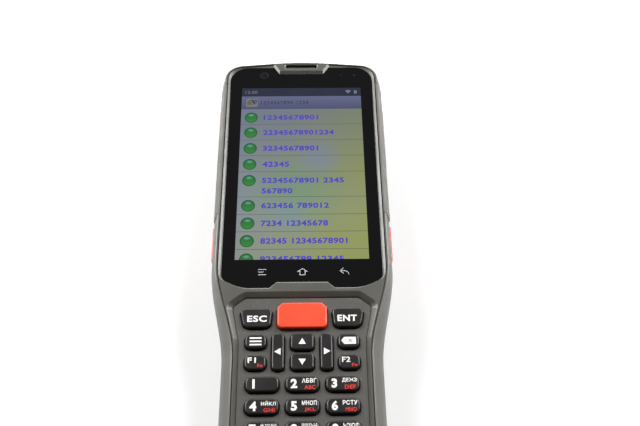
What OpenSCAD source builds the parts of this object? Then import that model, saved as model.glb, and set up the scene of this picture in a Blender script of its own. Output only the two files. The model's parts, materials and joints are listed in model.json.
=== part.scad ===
// Portable barcode data terminal, lying on its back: X across, Y towards the scan end, Z out of the screen.
// The origin is the middle of the rest plane under the whole device.

/* [Body] */
// Overall length
body_l = 195; // [185:1:210]
// Width across the head
head_w = 71.6; // [66:0.2:78]
// Width across the grip
grip_w = 60.4; // [56:0.2:66]
// Height of the bezel rim above the rest plane
body_t = 26.6; // [26:0.1:29]
// Height of the parting line between the two housings
seam_z = 12.5; // [12.3:0.1:12.7]
// Thickness of the outer walls
wall = 2.4; // [2.2:0.1:2.8]
// Corner radius at the scan end
head_r = 10; // [8:0.5:12]
// Corner radius at the tail
tail_r = 13; // [10:0.5:14]
// Distance from the lower end of the cover glass up to the shoulder, where the head starts to narrow
shoulder_d = 11.3; // [9:0.1:17]
// Length of the taper from the shoulder to the grip
taper_l = 40; // [34:1:44]

/* [Screen] */
// Length of the cover glass
glass_l = 110.5; // [105:0.1:116]
// Distance from the scan end to the cover glass
glass_d = 4.8; // [4.6:0.1:5.4]
// Width of the bezel beside the cover glass
glass_side = 4.4; // [4.2:0.1:5]
// Width of the glass beside the lit screen
screen_side = 5.25; // [4.5:0.05:6]
// Length of the glass above the lit screen
screen_top = 11.1; // [10:0.1:12]
// Length of the glass below the lit screen
screen_bottom = 12.3; // [11:0.1:13]
// Thickness of the cover glass
glass_t = 1.5; // [1:0.1:1.6]
// Depth of the glass below the bezel rim
glass_sink = 0.4; // [0.2:0.1:0.6]

/* [Keypad] */
// Distance from the cover glass to the keypad panel
pad_d = 4; // [3.6:0.1:5]
// Depth of the keypad panel below the bezel rim
pad_sink = 1.5; // [1:0.1:1.8]
// Thickness of the keypad panel
pad_t = 1.5; // [1.2:0.1:1.8]
// Width of the housing beside the keypad panel in the grip
pad_side = 6.8; // [6.5:0.1:7.5]
// Distance from the keypad panel to the tail
pad_tail = 8.8; // [8:0.1:10]
// Height of a key above the keypad panel
key_h = 1.4; // [1:0.1:2]
// Height of the scan key above the keypad panel
scan_key_h = 1.8; // [1.2:0.1:2.2]
// Gap round each key in the keypad panel
key_gap = 0.2; // [0.15:0.05:0.3]
// Travel of a key
key_travel = 0.5; // [0.3:0.05:0.6]
// Gap between two number keys in a row
key_dx_gap = 2.3; // [1.6:0.1:3]
// Gap between two rows of number keys
key_dy_gap = 2.4; // [2:0.1:3.4]

/* [Side keys] */
// Length of an orange side scan key
side_key_l = 16; // [12:0.5:18]
// Height of an orange side scan key
side_key_h = 4.2; // [3:0.1:4.4]
// How far the side keys stand out of the wall
side_proud = 0.6; // [0.4:0.1:1]
// Length of the power key
power_l = 11; // [8:0.2:12]
// Length of the volume key
volume_l = 20; // [16:0.5:20.5]
// Travel of a side key
side_travel = 0.4; // [0.2:0.05:0.5]

/* [Back] */
// Width of the housing beside the battery door
door_side = 10.7; // [10:0.1:13]
// Distance from the battery door to the tail
door_tail = 16.5; // [16:0.1:20]
// Thickness of the battery door
door_t = 1.7; // [1.6:0.1:2]
// Width of the scan window
window_w = 25; // [20:0.5:28]
// Spacing of the two hand strap screws
strap_dx = 18; // [14:0.5:24]
// Radius of a hand strap screw hole
strap_r = 1.25; // [1:0.05:1.5]

/* [Hidden] */

// Colours
shell_grey = [0.56, 0.55, 0.52];
rail_grey = [0.60, 0.59, 0.56];
panel_grey = [0.36, 0.35, 0.33];
key_black = [0.13, 0.12, 0.13];
accent_orange = [0.95, 0.35, 0.20];
board_green = [0.05, 0.30, 0.16];
steel = [0.75, 0.76, 0.78];
glass_black = [0.05, 0.05, 0.06];
rubber_black = [0.10, 0.10, 0.10];

tiny = 0.01;
fit_gap = 0.1;
bore_fn = 32;
corner_n = 6;

// Plan
top_y = body_l / 2;
glass_y1 = top_y - glass_d;
glass_y0 = glass_y1 - glass_l;
shoulder_y = glass_y0 + shoulder_d;
waist_y = shoulder_y - taper_l;
head_bow = 2.9;
tail_bow = 1.6;
bow_r = 150;
taper_n = 9;

// Section: height, inset of the head's side, of the grip's side and of the ends. Each runs a little past the
// planes that cut it off.
rear_section = [[-0.4, 6.35, 10.45, 5.3], [0.8, 3.5, 7.3, 2.6], [2.2, 1.8, 5.2, 1.2],
    [3.6, 0.7, 3.4, 0.4], [5.2, 0, 2, 0], [8.5, 0, 0.6, 0], [seam_z + 1, 0, 0, 0]];
front_section = [[seam_z - 1, 0, 0, 0], [body_t - 8.1, 0, 0, 0], [body_t - 5.1, 0.7, 1.2, 0.3],
    [body_t - 2.6, 1.7, 2.9, 0.7], [body_t - 1, 2.45, 4, 0.9], [body_t - 0.3, 2.85, 4.4, 1.1],
    [body_t + 0.3, 3.85, 5.4, 1.8]];

// Screen stack, from the glass down
glass_w = head_w - 2 * glass_side;
screen_w = glass_w - 2 * screen_side;
screen_h = glass_l - screen_top - screen_bottom;
screen_y = glass_y1 - screen_top - screen_h / 2;
glass_z = body_t - glass_sink;
ledge_z = glass_z - glass_t;
display_t = 2.4;
display_rim = 1.6;
panel_w = screen_w + 2 * display_rim;
panel_foot = 6;
panel_l = screen_h + 2 * display_rim + panel_foot;
panel_y = screen_y - panel_foot / 2;
deck_z = ledge_z - display_t;
frame_t = 1.4;
standoff_h = 3;
standoff_r = 2;
eye_r = 3;
eye_pos = [14.9 - glass_w / 2, glass_y1 - 3.7];
board_t = 1.2;
frame_z = deck_z - frame_t;
main_z = frame_z - standoff_h - board_t;
board_x = head_w / 2 - wall - 3.4;
board_y0 = shoulder_y - 2;
board_y1 = top_y - 15;
can_t = 2;

// Keypad stack
pad_y1 = glass_y0 - pad_d;
pad_y0 = pad_tail - top_y;
pad_l = pad_y1 - pad_y0;
pad_w = grip_w - 2 * pad_side;
pad_z = body_t - pad_sink;
pad_floor = pad_z - pad_t;
pad_ledge_w = 0.9;
seal_t = 0.5;
flange_w = 0.5;
flange_t = 0.6;
flange_gap = 0.2;
flange_z = pad_floor - seal_t - flange_gap - flange_t;
plunger_l = 0.4;
dome_h = 0.35;
dome_r = 1.6;
keyboard_z = flange_z - plunger_l - key_travel - 0.1 - dome_h - board_t;

// The keys' places and sizes are shares of the panel, as kx and ky to a panel of 46.8 x 66.9
kx = pad_w / 46.8;
ky = pad_l / 66.9;
digit_dx = 14.4 * kx;
digit_dy = 8.3 * ky;
digit_y1 = pad_y1 - 34.65 * ky;
nav_y = pad_y1 - 22.3 * ky;
nav_l = 14.4 * ky;
key_r = 2.2 * min(kx, ky);

// Side features
side_key_y = glass_y0 + 24.8;
side_z = seam_z + 2.8;
rail_z = body_t - 7.6;
rail_y0 = side_key_y + side_key_l / 2 + 0.6;
rail_y1 = top_y - head_r - 3.1;
rail_in = 2.5;
groove_w = 0.5;
lug_y = rail_y0 + 4;
power_y = rail_y1 - 13.4;
volume_y = power_y - power_l / 2 - 1.6 - volume_l / 2;
side_gap = 0.15;
black_side_h = 3.4;
switch_w = 4;
switch_l = 4.8;
switch_t = 3.2;
rocker_gap = 0.35;

// Scan end
bezel_l = 20;
bezel_y = top_y - bezel_l;
bezel_z0 = 5.2;
bezel_top = 9.4;
bezel_z1 = body_t - bezel_top;
bezel_t = 1.2;
bezel_proud = 0.25;
slot_w = 14;
slot_l = 1.7;
slot_y = top_y - 3.4;
ear_w = 15;
ear_l = 5.2;
ear_t = 3;
window_h = 6.4;
window_z = seam_z - 0.6 - window_h / 2;
window_t = 1.2;
window_y = top_y - 1.5;
engine_l = 18;
engine_t = 9.6;

// Back
door_gap = 0.2;
door_z = 0.5;
door_y1 = shoulder_y + 3.5;
door_y0 = door_tail - top_y;
door_l = door_y1 - door_y0;
door_w = grip_w - 2 * door_side;
door_mid = (door_y0 + door_y1) / 2;
battery_z = door_z + door_t + 0.2;
roof_t = 1;
roof_z = seam_z;
battery_in = 2.6;
battery_l = door_l - 2 * battery_in - 1.8;
contact_y = door_y0 - 5.5;
contact_dx = 4;
contact_r = 1.2;
latch_w = 12;
latch_l = 6;
latch_lip = 0.8;
latch_z1 = door_z + 0.9;
latch_travel = 2;
strap_y = top_y - 45.5;
saddle_y = strap_y - 22;
saddle_l = 28;
saddle_h = 4;
saddle_r = (saddle_l * saddle_l / 4 + saddle_h * saddle_h) / (2 * saddle_h);
floor_t = 2.2;
camera_w = 8.8;
camera_t = 5.4;
camera_pos = [head_w / 2 - 15.8, top_y - 22];
flash_pos = [camera_pos.x, camera_pos.y - 9];
speaker_w = 16;
speaker_l = 12;
speaker_t = 4;
speaker_gap = 1;
speaker_pos = [-camera_pos.x, top_y - 26];
engine_w = 2 * (camera_pos.x - speaker_w / 2 - speaker_gap);
motor_r = 4.5;
motor_t = 3;
motor_pos = [head_w / 2 - 13.8, top_y - 42];

// Tail
flap_w = 13.4;
flap_z0 = 5.9;
flap_z1 = seam_z - 0.3;
flap_t = 1.5;
flap_y = -top_y + 0.2;
socket_z = 7.4;
socket_h = 3.2;
socket_w = 9;
socket_l = 7.4;
io_w = 18;
io_y1 = flap_y + flap_t + 0.3 + socket_l + 2;

// Screws that join the housings
screw_r = 1;
screw_head_r = 2;
screw_boss_r = 2.6;
screw_places = [[head_w / 2 - 10.8, top_y - 9.5, body_t], [head_w / 2 - 8.4, shoulder_y - 3.9, body_t],
    [grip_w / 2 - 11.7, 5.4 - top_y, keyboard_z]];
screw_head_z = 1.2;
screw_head_h = 1.4;

// --- Outlines --------------------------------------------------------------------------------------------

function smooth_step(t) = let (c = min(1, max(0, t))) c * c * (3 - 2 * c);
function grip_share(y) = 1 - smooth_step((y - waist_y) / (shoulder_y - waist_y));
function side_x(y, head_in, grip_in) = let (s = grip_share(y))
    (1 - s) * (head_w / 2 - head_in) + s * (grip_w / 2 - grip_in);
function unit(v) = v / norm(v);

// One corner of an outline, rounded by an arc of n steps; radius 0 keeps it sharp
function round_corner(a, b, c, r, n) = r == 0 ? [b] :
    let (u = unit(a - b), v = unit(c - b), half = acos(u * v) / 2,
        mid = b + unit(u + v) * r / sin(half),
        s = b + u * r / tan(half) - mid, e = b + v * r / tan(half) - mid, turn = 180 - 2 * half)
    [for (k = [0:n]) mid + (s * sin(turn * (1 - k / n)) + e * sin(turn * k / n)) / sin(turn)];

// An outline given as [x, y, radius] corners
function rounded(p, n = corner_n) = let (m = len(p)) [for (i = [0:m - 1]) each
    round_corner([p[(i + m - 1) % m].x, p[(i + m - 1) % m].y], [p[i].x, p[i].y],
        [p[(i + 1) % m].x, p[(i + 1) % m].y], p[i][2], n)];

// The same corners moved outwards by d, with their radii to suit
function grown(p, d) = let (m = len(p)) [for (i = [0:m - 1])
    let (a = p[(i + m - 1) % m], b = p[i], c = p[(i + 1) % m],
        n1 = unit([b.y - a.y, a.x - b.x]), n2 = unit([c.y - b.y, b.x - c.x]),
        q = [b.x, b.y] + d * (n1 + n2) / (1 + n1 * n2),
        convex = cross(n1, n2) > 0)
    [q.x, q.y, b[2] == 0 ? 0 : max(0.2, b[2] + (convex ? d : -d))]];

function flipped(p) = [for (i = [len(p) - 1:-1:0]) [-p[i].x, p[i].y, p[i][2]]];
function mirrored(right) = concat(right, flipped(right));
function box_corners(w, l, r) = let (x = w / 2, y = l / 2)
    [[-x, -y, r], [x, -y, r], [x, y, r], [-x, y, r]];
function at(p, x, y) = [for (c = p) [c.x + x, c.y + y, c[2]]];

// How far a bowed end's corner stands beyond the crest of its arc
function crest(bow, half_w) = bow_r * (norm([bow, half_w]) / half_w - 1);
function body_corners(head_in, grip_in, end_in) = let (gx = grip_w / 2 - grip_in, hx = head_w / 2 - head_in,
        tail_y = end_in - top_y - crest(tail_bow, gx), head_y = top_y - end_in + crest(head_bow, hx))
    concat([[0, tail_y, bow_r], [gx, tail_y + tail_bow, max(2, tail_r - grip_in)]],
        [for (i = [0:taper_n]) let (y = waist_y + (shoulder_y - waist_y) * i / taper_n)
            [side_x(y, head_in, grip_in), y, 0]],
        [[hx, head_y - head_bow, max(2, head_r - head_in)], [0, head_y, bow_r],
            [-hx, head_y - head_bow, max(2, head_r - head_in)]],
        [for (i = [taper_n:-1:0]) let (y = waist_y + (shoulder_y - waist_y) * i / taper_n)
            [-side_x(y, head_in, grip_in), y, 0]],
        [[-gx, tail_y + tail_bow, max(2, tail_r - grip_in)]]);
function body_ring(head_in, grip_in, end_in) = rounded(body_corners(head_in, grip_in, end_in));

glass_right = [[9.8, glass_y0 + 2.5, 0.8], [12.6, glass_y0, 0.8], [glass_w / 2 - 8, glass_y0, 3],
    [glass_w / 2, glass_y0 + 4.2, 2.4], [glass_w / 2, glass_y1, 6], [11.6, glass_y1, 0.8],
    [9.7, glass_y1 - 3.1, 0.8]];
glass_corners = mirrored(glass_right);
pad_right = [[pad_w / 2, pad_y0, 7], [pad_w / 2, pad_y1 - 18, 12], [pad_w / 2 + 2.7, pad_y1 - 3.6, 2],
    [pad_w / 2 - 1.9, pad_y1, 3]];
pad_corners = mirrored(pad_right);
lip_side = 1.7;
lip_top = 2.2;
lip_right = [for (p = grown(pad_corners, lip_side)) if (p.x > 0)
    [p.x, p.y > pad_y1 ? p.y + lip_top - lip_side : p.y, p[2]]];

// The sloped wall round the keypad at a height
function pad_slope(z) = let (a = rounded(grown(pad_corners, fit_gap)), b = rounded(mirrored(lip_right)))
    a + (b - a) * (z - pad_z) / (body_t - pad_z);

// Keys: centre x, centre y and corner list of each
function keyed(p) = [for (c = p) [c.x * kx, c.y * ky, c[2] * min(kx, ky)]];
digit_key = box_corners(digit_dx - key_dx_gap, digit_dy - key_dy_gap, key_r);
small_key = keyed(box_corners(8.2, 6.1, 2.1));
nav_side_key = keyed(box_corners(4.7, 14.4, 1.4));
nav_mid_key = keyed(box_corners(8.7, 6.6, 1.6));
ent_shape = keyed([[-5, -3.6, 2.2], [5, -3.6, 2.4], [6.4, 2.9, 1.1], [5, 4.3, 1.1], [-5.8, 4.3, 1.9]]);
scan_shape = keyed([[-9.4, -5.2, 2], [9.4, -5.2, 2], [9.4, 3.2, 1.4], [7.4, 5.2, 1.4], [-7.4, 5.2, 1.4],
    [-9.4, 3.2, 1.4]]);
mid_off = 3.9 * ky;
nav_off = 8.9 * kx;
side_col = 17.1 * kx;
side_off = 4.1 * ky;
function number_place(i) = [(i % 3 - 1) * digit_dx, digit_y1 - floor(i / 3) * digit_dy];
scan_place = [0, pad_y1 - 7.8 * ky];
ent_place = [16.8 * kx, pad_y1 - 9.1 * ky];
key_outlines = concat(
    [at(scan_shape, scan_place.x, scan_place.y), at(ent_shape, ent_place.x, ent_place.y),
        at(flipped(ent_shape), -ent_place.x, ent_place.y)],
    [for (s = [-1, 1]) at(nav_mid_key, 0, nav_y + s * mid_off)],
    [for (s = [-1, 1]) at(nav_side_key, s * nav_off, nav_y)],
    [for (s = [-1, 1], t = [-1, 1]) at(small_key, s * side_col, nav_y + t * side_off)],
    [for (i = [0:11]) let (q = number_place(i)) at(digit_key, q.x, q.y)]);
key_centres = concat([scan_place, ent_place, [-ent_place.x, ent_place.y]],
    [for (s = [-1, 1]) [0, nav_y + s * mid_off]], [for (s = [-1, 1]) [s * nav_off, nav_y]],
    [for (s = [-1, 1], t = [-1, 1]) [s * side_col, nav_y + t * side_off]],
    [for (i = [0:11]) number_place(i)]);

// --- Shared solids ---------------------------------------------------------------------------------------

// A closed solid through rings of equal point counts, each [height, points]
module loft(rings) {
    n = len(rings[0][1]);
    m = len(rings);
    points = [for (r = rings) for (p = r[1]) [p.x, p.y, r[0]]];
    sides = [for (j = [0:m - 2], i = [0:n - 1]) let (a = j * n + i, b = j * n + (i + 1) % n)
        each [[a, a + n, b + n], [a, b + n, b]]];
    caps = [[for (i = [0:n - 1]) i], [for (i = [n - 1:-1:0]) (m - 1) * n + i]];
    polyhedron(points, concat(caps, sides), 8);
}

// A straight prism of an outline between two heights
module prism(points, z0, z1) {
    translate([0, 0, z0]) linear_extrude(z1 - z0) polygon(points);
}

module block(x, y, z) {
    translate([x[0], y[0], z[0]]) cube([x[1] - x[0], y[1] - y[0], z[1] - z[0]]);
}

module rod(x, y, z0, z1, r) {
    translate([x, y, z0]) cylinder(h = z1 - z0, r = r, $fn = bore_fn);
}

module mirror_pair() {
    children();
    mirror([1, 0, 0]) children();
}

module section_loft(section, z0, z1) {
    intersection() {
        loft([for (s = section) [s[0], body_ring(s[1], s[2], s[3])]]);
        block([-head_w, head_w], [-body_l, body_l], [z0, z1]);
    }
}

// The part of the wall that the orange bezel takes at the scan end, thicker by g all round
module bezel_band(outer, inner, g) {
    intersection() {
        difference() {
            prism(body_ring(-outer, -outer, -outer), bezel_z0 - g, bezel_z1 + g);
            prism(body_ring(inner, inner, inner), bezel_z0 - g - 1, bezel_z1 + g + 1);
        }
        block([-head_w, head_w], [bezel_y - g, top_y + 5], [0, body_t]);
    }
}

// Screw bores on both sides of the middle
module screw_bores(z0, z1, r) {
    mirror_pair() for (p = screw_places) rod(p.x, p.y, z0, z1, r);
}

module side_hole(y, l, h) {
    block([head_w / 2 - wall - 1, head_w / 2 + 1], [y - l / 2, y + l / 2], [side_z - h / 2, side_z + h / 2]);
}

// --- Housings --------------------------------------------------------------------------------------------

module front_cavity() {
    prism(body_ring(wall, wall + 1.6, wall), seam_z - 1, rail_z - 1);
    intersection() {
        prism(body_ring(wall + 2.4, wall + 1.6, wall + 1), rail_z - 2, deck_z);
        block([-head_w, head_w], [shoulder_y - 10, top_y], [0, body_t]);
    }
    prism(body_ring(wall + 2.4, wall + 3.4, wall + 1.6), rail_z - 2, keyboard_z + board_t + dome_h);
}

module front_housing() {
    color(shell_grey) {
        difference() {
            section_loft(front_section, seam_z, body_t);
            difference() {
                front_cavity();
                mirror_pair() for (p = screw_places) rod(p.x, p.y, 0, p[2], screw_boss_r);
            }
            screw_bores(seam_z - 1, seam_z + 6.6, screw_r + 0.05);
            prism(rounded(grown(glass_corners, fit_gap)), ledge_z, body_t + 1);
            prism(rounded(at(box_corners(panel_w + 0.4, panel_l + 0.4, 1), 0, panel_y)),
                deck_z - 1, body_t);
            intersection() {
                loft([[pad_floor - 0.4, pad_slope(pad_z)], [pad_z, pad_slope(pad_z)],
                    [body_t + 0.5, pad_slope(body_t + 0.5)]]);
                block([-head_w, head_w], [-body_l, body_l], [pad_floor, body_t + 1]);
            }
            prism(rounded(grown(pad_corners, -pad_ledge_w)), keyboard_z, pad_floor + 0.3);
            mirror_pair() block([head_w / 2 - rail_in - groove_w, head_w], [rail_y0 - 0.2, rail_y1 + 0.2],
                [rail_z, body_t + 1]);
            mirror_pair() side_hole(side_key_y, side_key_l + 0.4, side_key_h + 0.4);
            side_hole(power_y, power_l + 0.4, black_side_h + 0.4);
            side_hole(volume_y, volume_l + 0.4, black_side_h + 0.4);
            bezel_band(2, bezel_t + 0.05, 0.05);
            seal_ring(0.05);
            earpiece_slot();
            rod(eye_pos.x, eye_pos.y, deck_z - 1, body_t, eye_r + 0.1);
        }
        mirror_pair() accessory_lug();
    }
}

// A boss for a pistol grip, on the wall just below the rail
module accessory_lug() {
    difference() {
        translate([head_w / 2 - tiny, lug_y, side_z + 1.2]) rotate([0, 90, 0])
            cylinder(h = 0.5, r = 1.4, $fn = bore_fn);
        translate([head_w / 2, lug_y, side_z + 1.2]) rotate([0, 90, 0])
            cylinder(h = 1, r = 0.6, $fn = bore_fn);
    }
}

module earpiece_slot() {
    prism(rounded(at(box_corners(slot_w, slot_l, slot_l / 2 - 0.05), 0, slot_y)), deck_z - 1, body_t + 1);
}

module rear_cavity() {
    difference() {
        union() {
            prism(body_ring(wall, wall + 1.6, wall), 6, seam_z + 1);
            prism(body_ring(wall + 2.4, wall + 8, wall + 1.8), floor_t, seam_z + 1);
        }
        block([-head_w, head_w], [-top_y, shoulder_y + 6], [0, seam_z + 2]);
        translate([-head_w, saddle_y, saddle_h - saddle_r]) rotate([0, 90, 0])
            cylinder(h = 2 * head_w, r = saddle_r + floor_t, $fn = 96);
        mirror_pair() for (p = screw_places) rod(p.x, p.y, 0, seam_z + 1, screw_boss_r);
        mirror_pair() rod(strap_dx / 2, strap_y, 0, floor_t + 4, strap_r + 1.6);
    }
}

module rear_housing() {
    color(shell_grey) difference() {
        union() {
            section_loft(rear_section, 0, seam_z);
            block([-door_w / 2 - 1.6, door_w / 2 + 1.6], [door_y0 - 1.4, door_y1 + 1.4],
                [seam_z - 1, roof_z + roof_t]);
        }
        rear_cavity();
        prism(rounded(at(box_corners(door_w + 2 * door_gap, door_l + 2 * door_gap, 4.2), 0, door_mid)),
            -1, door_z + door_t);
        block([-door_w / 2 + 0.4, door_w / 2 - 0.4], [door_y0 + 1.8, door_y1 - 3.4], [door_z, roof_z]);
        block([-latch_w / 2 + 1.8, latch_w / 2 - 1.8], [door_y1, door_y1 + 1.5], [door_z, door_z + 1]);
        translate([-head_w, saddle_y, saddle_h - saddle_r]) rotate([0, 90, 0])
            cylinder(h = 2 * head_w, r = saddle_r, $fn = 96);
        screw_bores(0, seam_z + 1, screw_r + 0.05);
        screw_bores(-1, screw_head_z + screw_head_h, screw_head_r + 0.1);
        mirror_pair() rod(strap_dx / 2, strap_y, -1, floor_t + 3, strap_r);
        bezel_band(2, bezel_t + 0.05, 0.05);
        block([-window_w / 2 + 1.2, window_w / 2 - 1.2], [top_y - 12, top_y + 1],
            [window_z - window_h / 2 + 1, window_z + window_h / 2 - 1]);
        block([-window_w / 2, window_w / 2], [window_y - window_t, top_y + 1],
            [window_z - window_h / 2, window_z + window_h / 2]);
        seal_ring(0.05);
        rod(camera_pos.x, camera_pos.y, -1, 1.4, 3.5);
        rod(camera_pos.x, camera_pos.y, 0, floor_t + 1, 2.6);
        rod(flash_pos.x, flash_pos.y, -1, 1.4, 1.9);
        rod(flash_pos.x, flash_pos.y, 0, floor_t + 1, 1.2);
        for (i = [-3:3]) let (x = speaker_pos.x + i * speaker_w / 8)
            block([x - 0.5, x + 0.5], [speaker_pos.y - speaker_l / 3, speaker_pos.y + speaker_l / 3],
                [-1, floor_t + 1]);
        block([-flap_w / 2 - 0.2, flap_w / 2 + 0.2], [-top_y - 1, flap_y + flap_t + 0.1],
            [flap_z0 - 0.1, flap_z1 + 0.1]);
        block([-socket_w / 2 - 0.05, socket_w / 2 + 0.05],
            [flap_y + flap_t, flap_y + flap_t + 0.3 + socket_l], [socket_z, seam_z + 1]);
        block([-io_w / 2 - 0.1, io_w / 2 + 0.1], [flap_y + flap_t + 1, io_y1 + 0.05],
            [socket_z + socket_h, seam_z + 1]);
        for (i = [-2:2]) rod(contact_dx * i, contact_y, -1, 2.4, contact_r + 0.05);
    }
}

// The ring that the housing seal lies in, larger by g all round
module seal_ring(g) {
    difference() {
        prism(body_ring(1.5 - g, 1.5 - g, 1.5 - g), seam_z - 0.3 - g, seam_z + 0.3);
        prism(body_ring(2.1 + g, 2.1 + g, 2.1 + g), seam_z - 1, seam_z + 1);
    }
}

module housing_seal() {
    color(rubber_black) seal_ring(0);
}

// One side rail, cut from the housing's own section
module rail() {
    inner = head_w / 2 - rail_in;
    outer = [for (s = front_section) if (s[0] > rail_z && s[1] < rail_in) [head_w / 2 - s[1], s[0]]];
    profile = concat([[inner, rail_z], [head_w / 2 - 0.12, rail_z]], outer, [[inner, body_t - 0.95]]);
    translate([0, rail_y1, 0]) rotate([90, 0, 0]) linear_extrude(rail_y1 - rail_y0) polygon(profile);
}

module right_rail() {
    color(rail_grey) rail();
}

module left_rail() {
    color(rail_grey) mirror([1, 0, 0]) rail();
}

// --- Scan end --------------------------------------------------------------------------------------------

module scan_bezel() {
    color(accent_orange) difference() {
        bezel_band(bezel_proud, bezel_t, 0);
        block([-window_w / 2, window_w / 2], [top_y - 12, top_y + 2],
            [window_z - window_h / 2, window_z + window_h / 2]);
    }
}

module scan_window() {
    color([0.25, 0.05, 0.05, 0.6]) block([-window_w / 2 + 0.1, window_w / 2 - 0.1],
        [window_y - window_t, window_y], [window_z - window_h / 2 + 0.1, window_z + window_h / 2 - 0.1]);
}

module scan_engine() {
    y1 = top_y - wall - 4;
    color([0.2, 0.2, 0.22]) {
        difference() {
            block([-engine_w / 2, engine_w / 2], [y1 - engine_l, y1], [floor_t, floor_t + engine_t]);
            translate([-4, y1 + 1, window_z]) rotate([90, 0, 0]) cylinder(h = 3, r = 2.6, $fn = bore_fn);
        }
    }
}

// --- Screen ----------------------------------------------------------------------------------------------

module cover_glass() {
    color(glass_black) prism(rounded(glass_corners), ledge_z, glass_z);
}

module display_panel() {
    color([0.35, 0.42, 0.5])
        prism(rounded(at(box_corners(panel_w, panel_l, 0.8), 0, panel_y)), deck_z, ledge_z);
}

module mid_frame() {
    y0 = board_y0;
    y1 = board_y1;
    color(steel) {
        block([-board_x - 0.4, board_x + 0.4], [y0, y1], [frame_z, deck_z]);
        mirror_pair() for (y = [y0 + 4, (y0 + y1) / 2, y1 - 4])
            rod(board_x - 6, y, frame_z - standoff_h, frame_z, standoff_r);
    }
}

// --- Electronics -----------------------------------------------------------------------------------------

module main_board() {
    color(board_green) block([-board_x, board_x], [board_y0, board_y1], [main_z, main_z + board_t]);
}

// Each can's two sides and two ends, as shares of the board
can_shares = [[-0.54, 0.06, 0.66, 0.88], [0.16, 0.64, 0.63, 0.83], [-0.46, 0.46, 0.27, 0.52]];

module shield_cans() {
    color(steel) for (c = can_shares)
        block([c[0] * board_x, c[1] * board_x], [for (t = [c[2], c[3]]) board_y0 + t * (board_y1 - board_y0)],
            [main_z + board_t, main_z + board_t + can_t]);
}

// Tact switches under the main board's edges, one behind each side key
module side_switch(y) {
    x1 = head_w / 2 - wall - side_gap - flange_t - side_travel - 0.1;
    block([x1 - switch_l, x1 - 0.5], [y - switch_w / 2, y + switch_w / 2], [main_z - switch_t, main_z]);
    block([x1 - 0.5, x1], [y - switch_w / 4, y + switch_w / 4], [side_z - 1, side_z + 1]);
}

module side_switches() {
    color(rubber_black) {
        mirror_pair() side_switch(side_key_y);
        side_switch(power_y);
        side_switch(volume_y + volume_l / 4);
        side_switch(volume_y - volume_l / 4);
    }
}

module earpiece() {
    y1 = top_y - wall - 2.6;
    color([0.2, 0.2, 0.2]) block([-ear_w / 2, ear_w / 2], [y1 - ear_l, y1], [deck_z - ear_t, deck_z]);
}

module earpiece_mesh() {
    color([0.12, 0.12, 0.12])
        prism(rounded(at(box_corners(slot_w - 0.1, slot_l - 0.1, slot_l / 2 - 0.1), 0, slot_y)),
            body_t - 2.2, body_t - 1.2);
}

module front_camera() {
    color([0.1, 0.1, 0.12]) rod(eye_pos.x, eye_pos.y, deck_z - 1.5, ledge_z, eye_r);
}

module rear_camera() {
    color([0.1, 0.1, 0.12]) block([camera_pos.x - camera_w / 2, camera_pos.x + camera_w / 2],
        [camera_pos.y - camera_w / 2, camera_pos.y + camera_w / 2], [floor_t, floor_t + camera_t]);
}

module rear_lenses() {
    color(glass_black) {
        rod(camera_pos.x, camera_pos.y, 0.4, 1.4, 3.4);
        rod(flash_pos.x, flash_pos.y, 0.4, 1.4, 1.8);
    }
}

module loudspeaker() {
    color([0.2, 0.2, 0.2]) block([speaker_pos.x - speaker_w / 2, speaker_pos.x + speaker_w / 2],
        [speaker_pos.y - speaker_l / 2, speaker_pos.y + speaker_l / 2], [floor_t, floor_t + speaker_t]);
}

module vibration_motor() {
    color(steel) rod(motor_pos.x, motor_pos.y, floor_t, floor_t + motor_t, motor_r);
}

module battery() {
    color([0.25, 0.27, 0.3]) block([-door_w / 2 + 1, door_w / 2 - 1],
        [door_y0 + battery_in, door_y0 + battery_in + battery_l], [battery_z, roof_z - 0.2]);
}

module usb_socket() {
    color(steel) difference() {
        block([-socket_w / 2, socket_w / 2], [flap_y + flap_t + 0.3, flap_y + flap_t + 0.3 + socket_l],
            [socket_z, socket_z + socket_h]);
        block([-socket_w / 2 + 0.4, socket_w / 2 - 0.4], [flap_y, flap_y + flap_t + 5.5],
            [socket_z + 0.4, socket_z + socket_h - 0.4]);
    }
}

module io_board() {
    color(board_green) block([-io_w / 2, io_w / 2], [flap_y + flap_t + 1.1, io_y1],
        [socket_z + socket_h, socket_z + socket_h + board_t]);
}

module charge_contacts() {
    color([0.85, 0.7, 0.35]) for (i = [-2:2]) rod(contact_dx * i, contact_y, 0.3, 2.4, contact_r);
}

module housing_screws() {
    color(steel) mirror_pair() for (p = screw_places) {
        rod(p.x, p.y, screw_head_z, screw_head_z + screw_head_h, screw_head_r);
        rod(p.x, p.y, screw_head_z + screw_head_h, seam_z + 6, screw_r);
    }
}

// --- Battery door, latch and port flap -------------------------------------------------------------------

module battery_door() {
    y0 = door_y1 - 2.5 - latch_l - latch_travel - 0.2;
    color(shell_grey) difference() {
        prism(rounded(at(box_corners(door_w, door_l, 4), 0, door_mid)), door_z, door_z + door_t);
        block([-latch_w / 2 - 0.1, latch_w / 2 + 0.1], [y0, door_y1 - 2.3], [door_z - 1, latch_z1 + 0.05]);
        block([-latch_w / 2 - latch_lip - 0.1, latch_w / 2 + latch_lip + 0.1], [y0, door_y1 - 2.3],
            [latch_z1 - 0.4, latch_z1 + 0.05]);
        block([-latch_w / 2 + 1.7, latch_w / 2 - 1.7], [door_y1 - 3, door_y1 + 1],
            [door_z - 1, latch_z1 + 0.05]);
        for (i = [0:4]) block([-12, 12], [door_y0 + 8 + 3 * i, door_y0 + 9.2 + 3 * i],
            [door_z - 1, door_z + 0.5]);
    }
}

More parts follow.
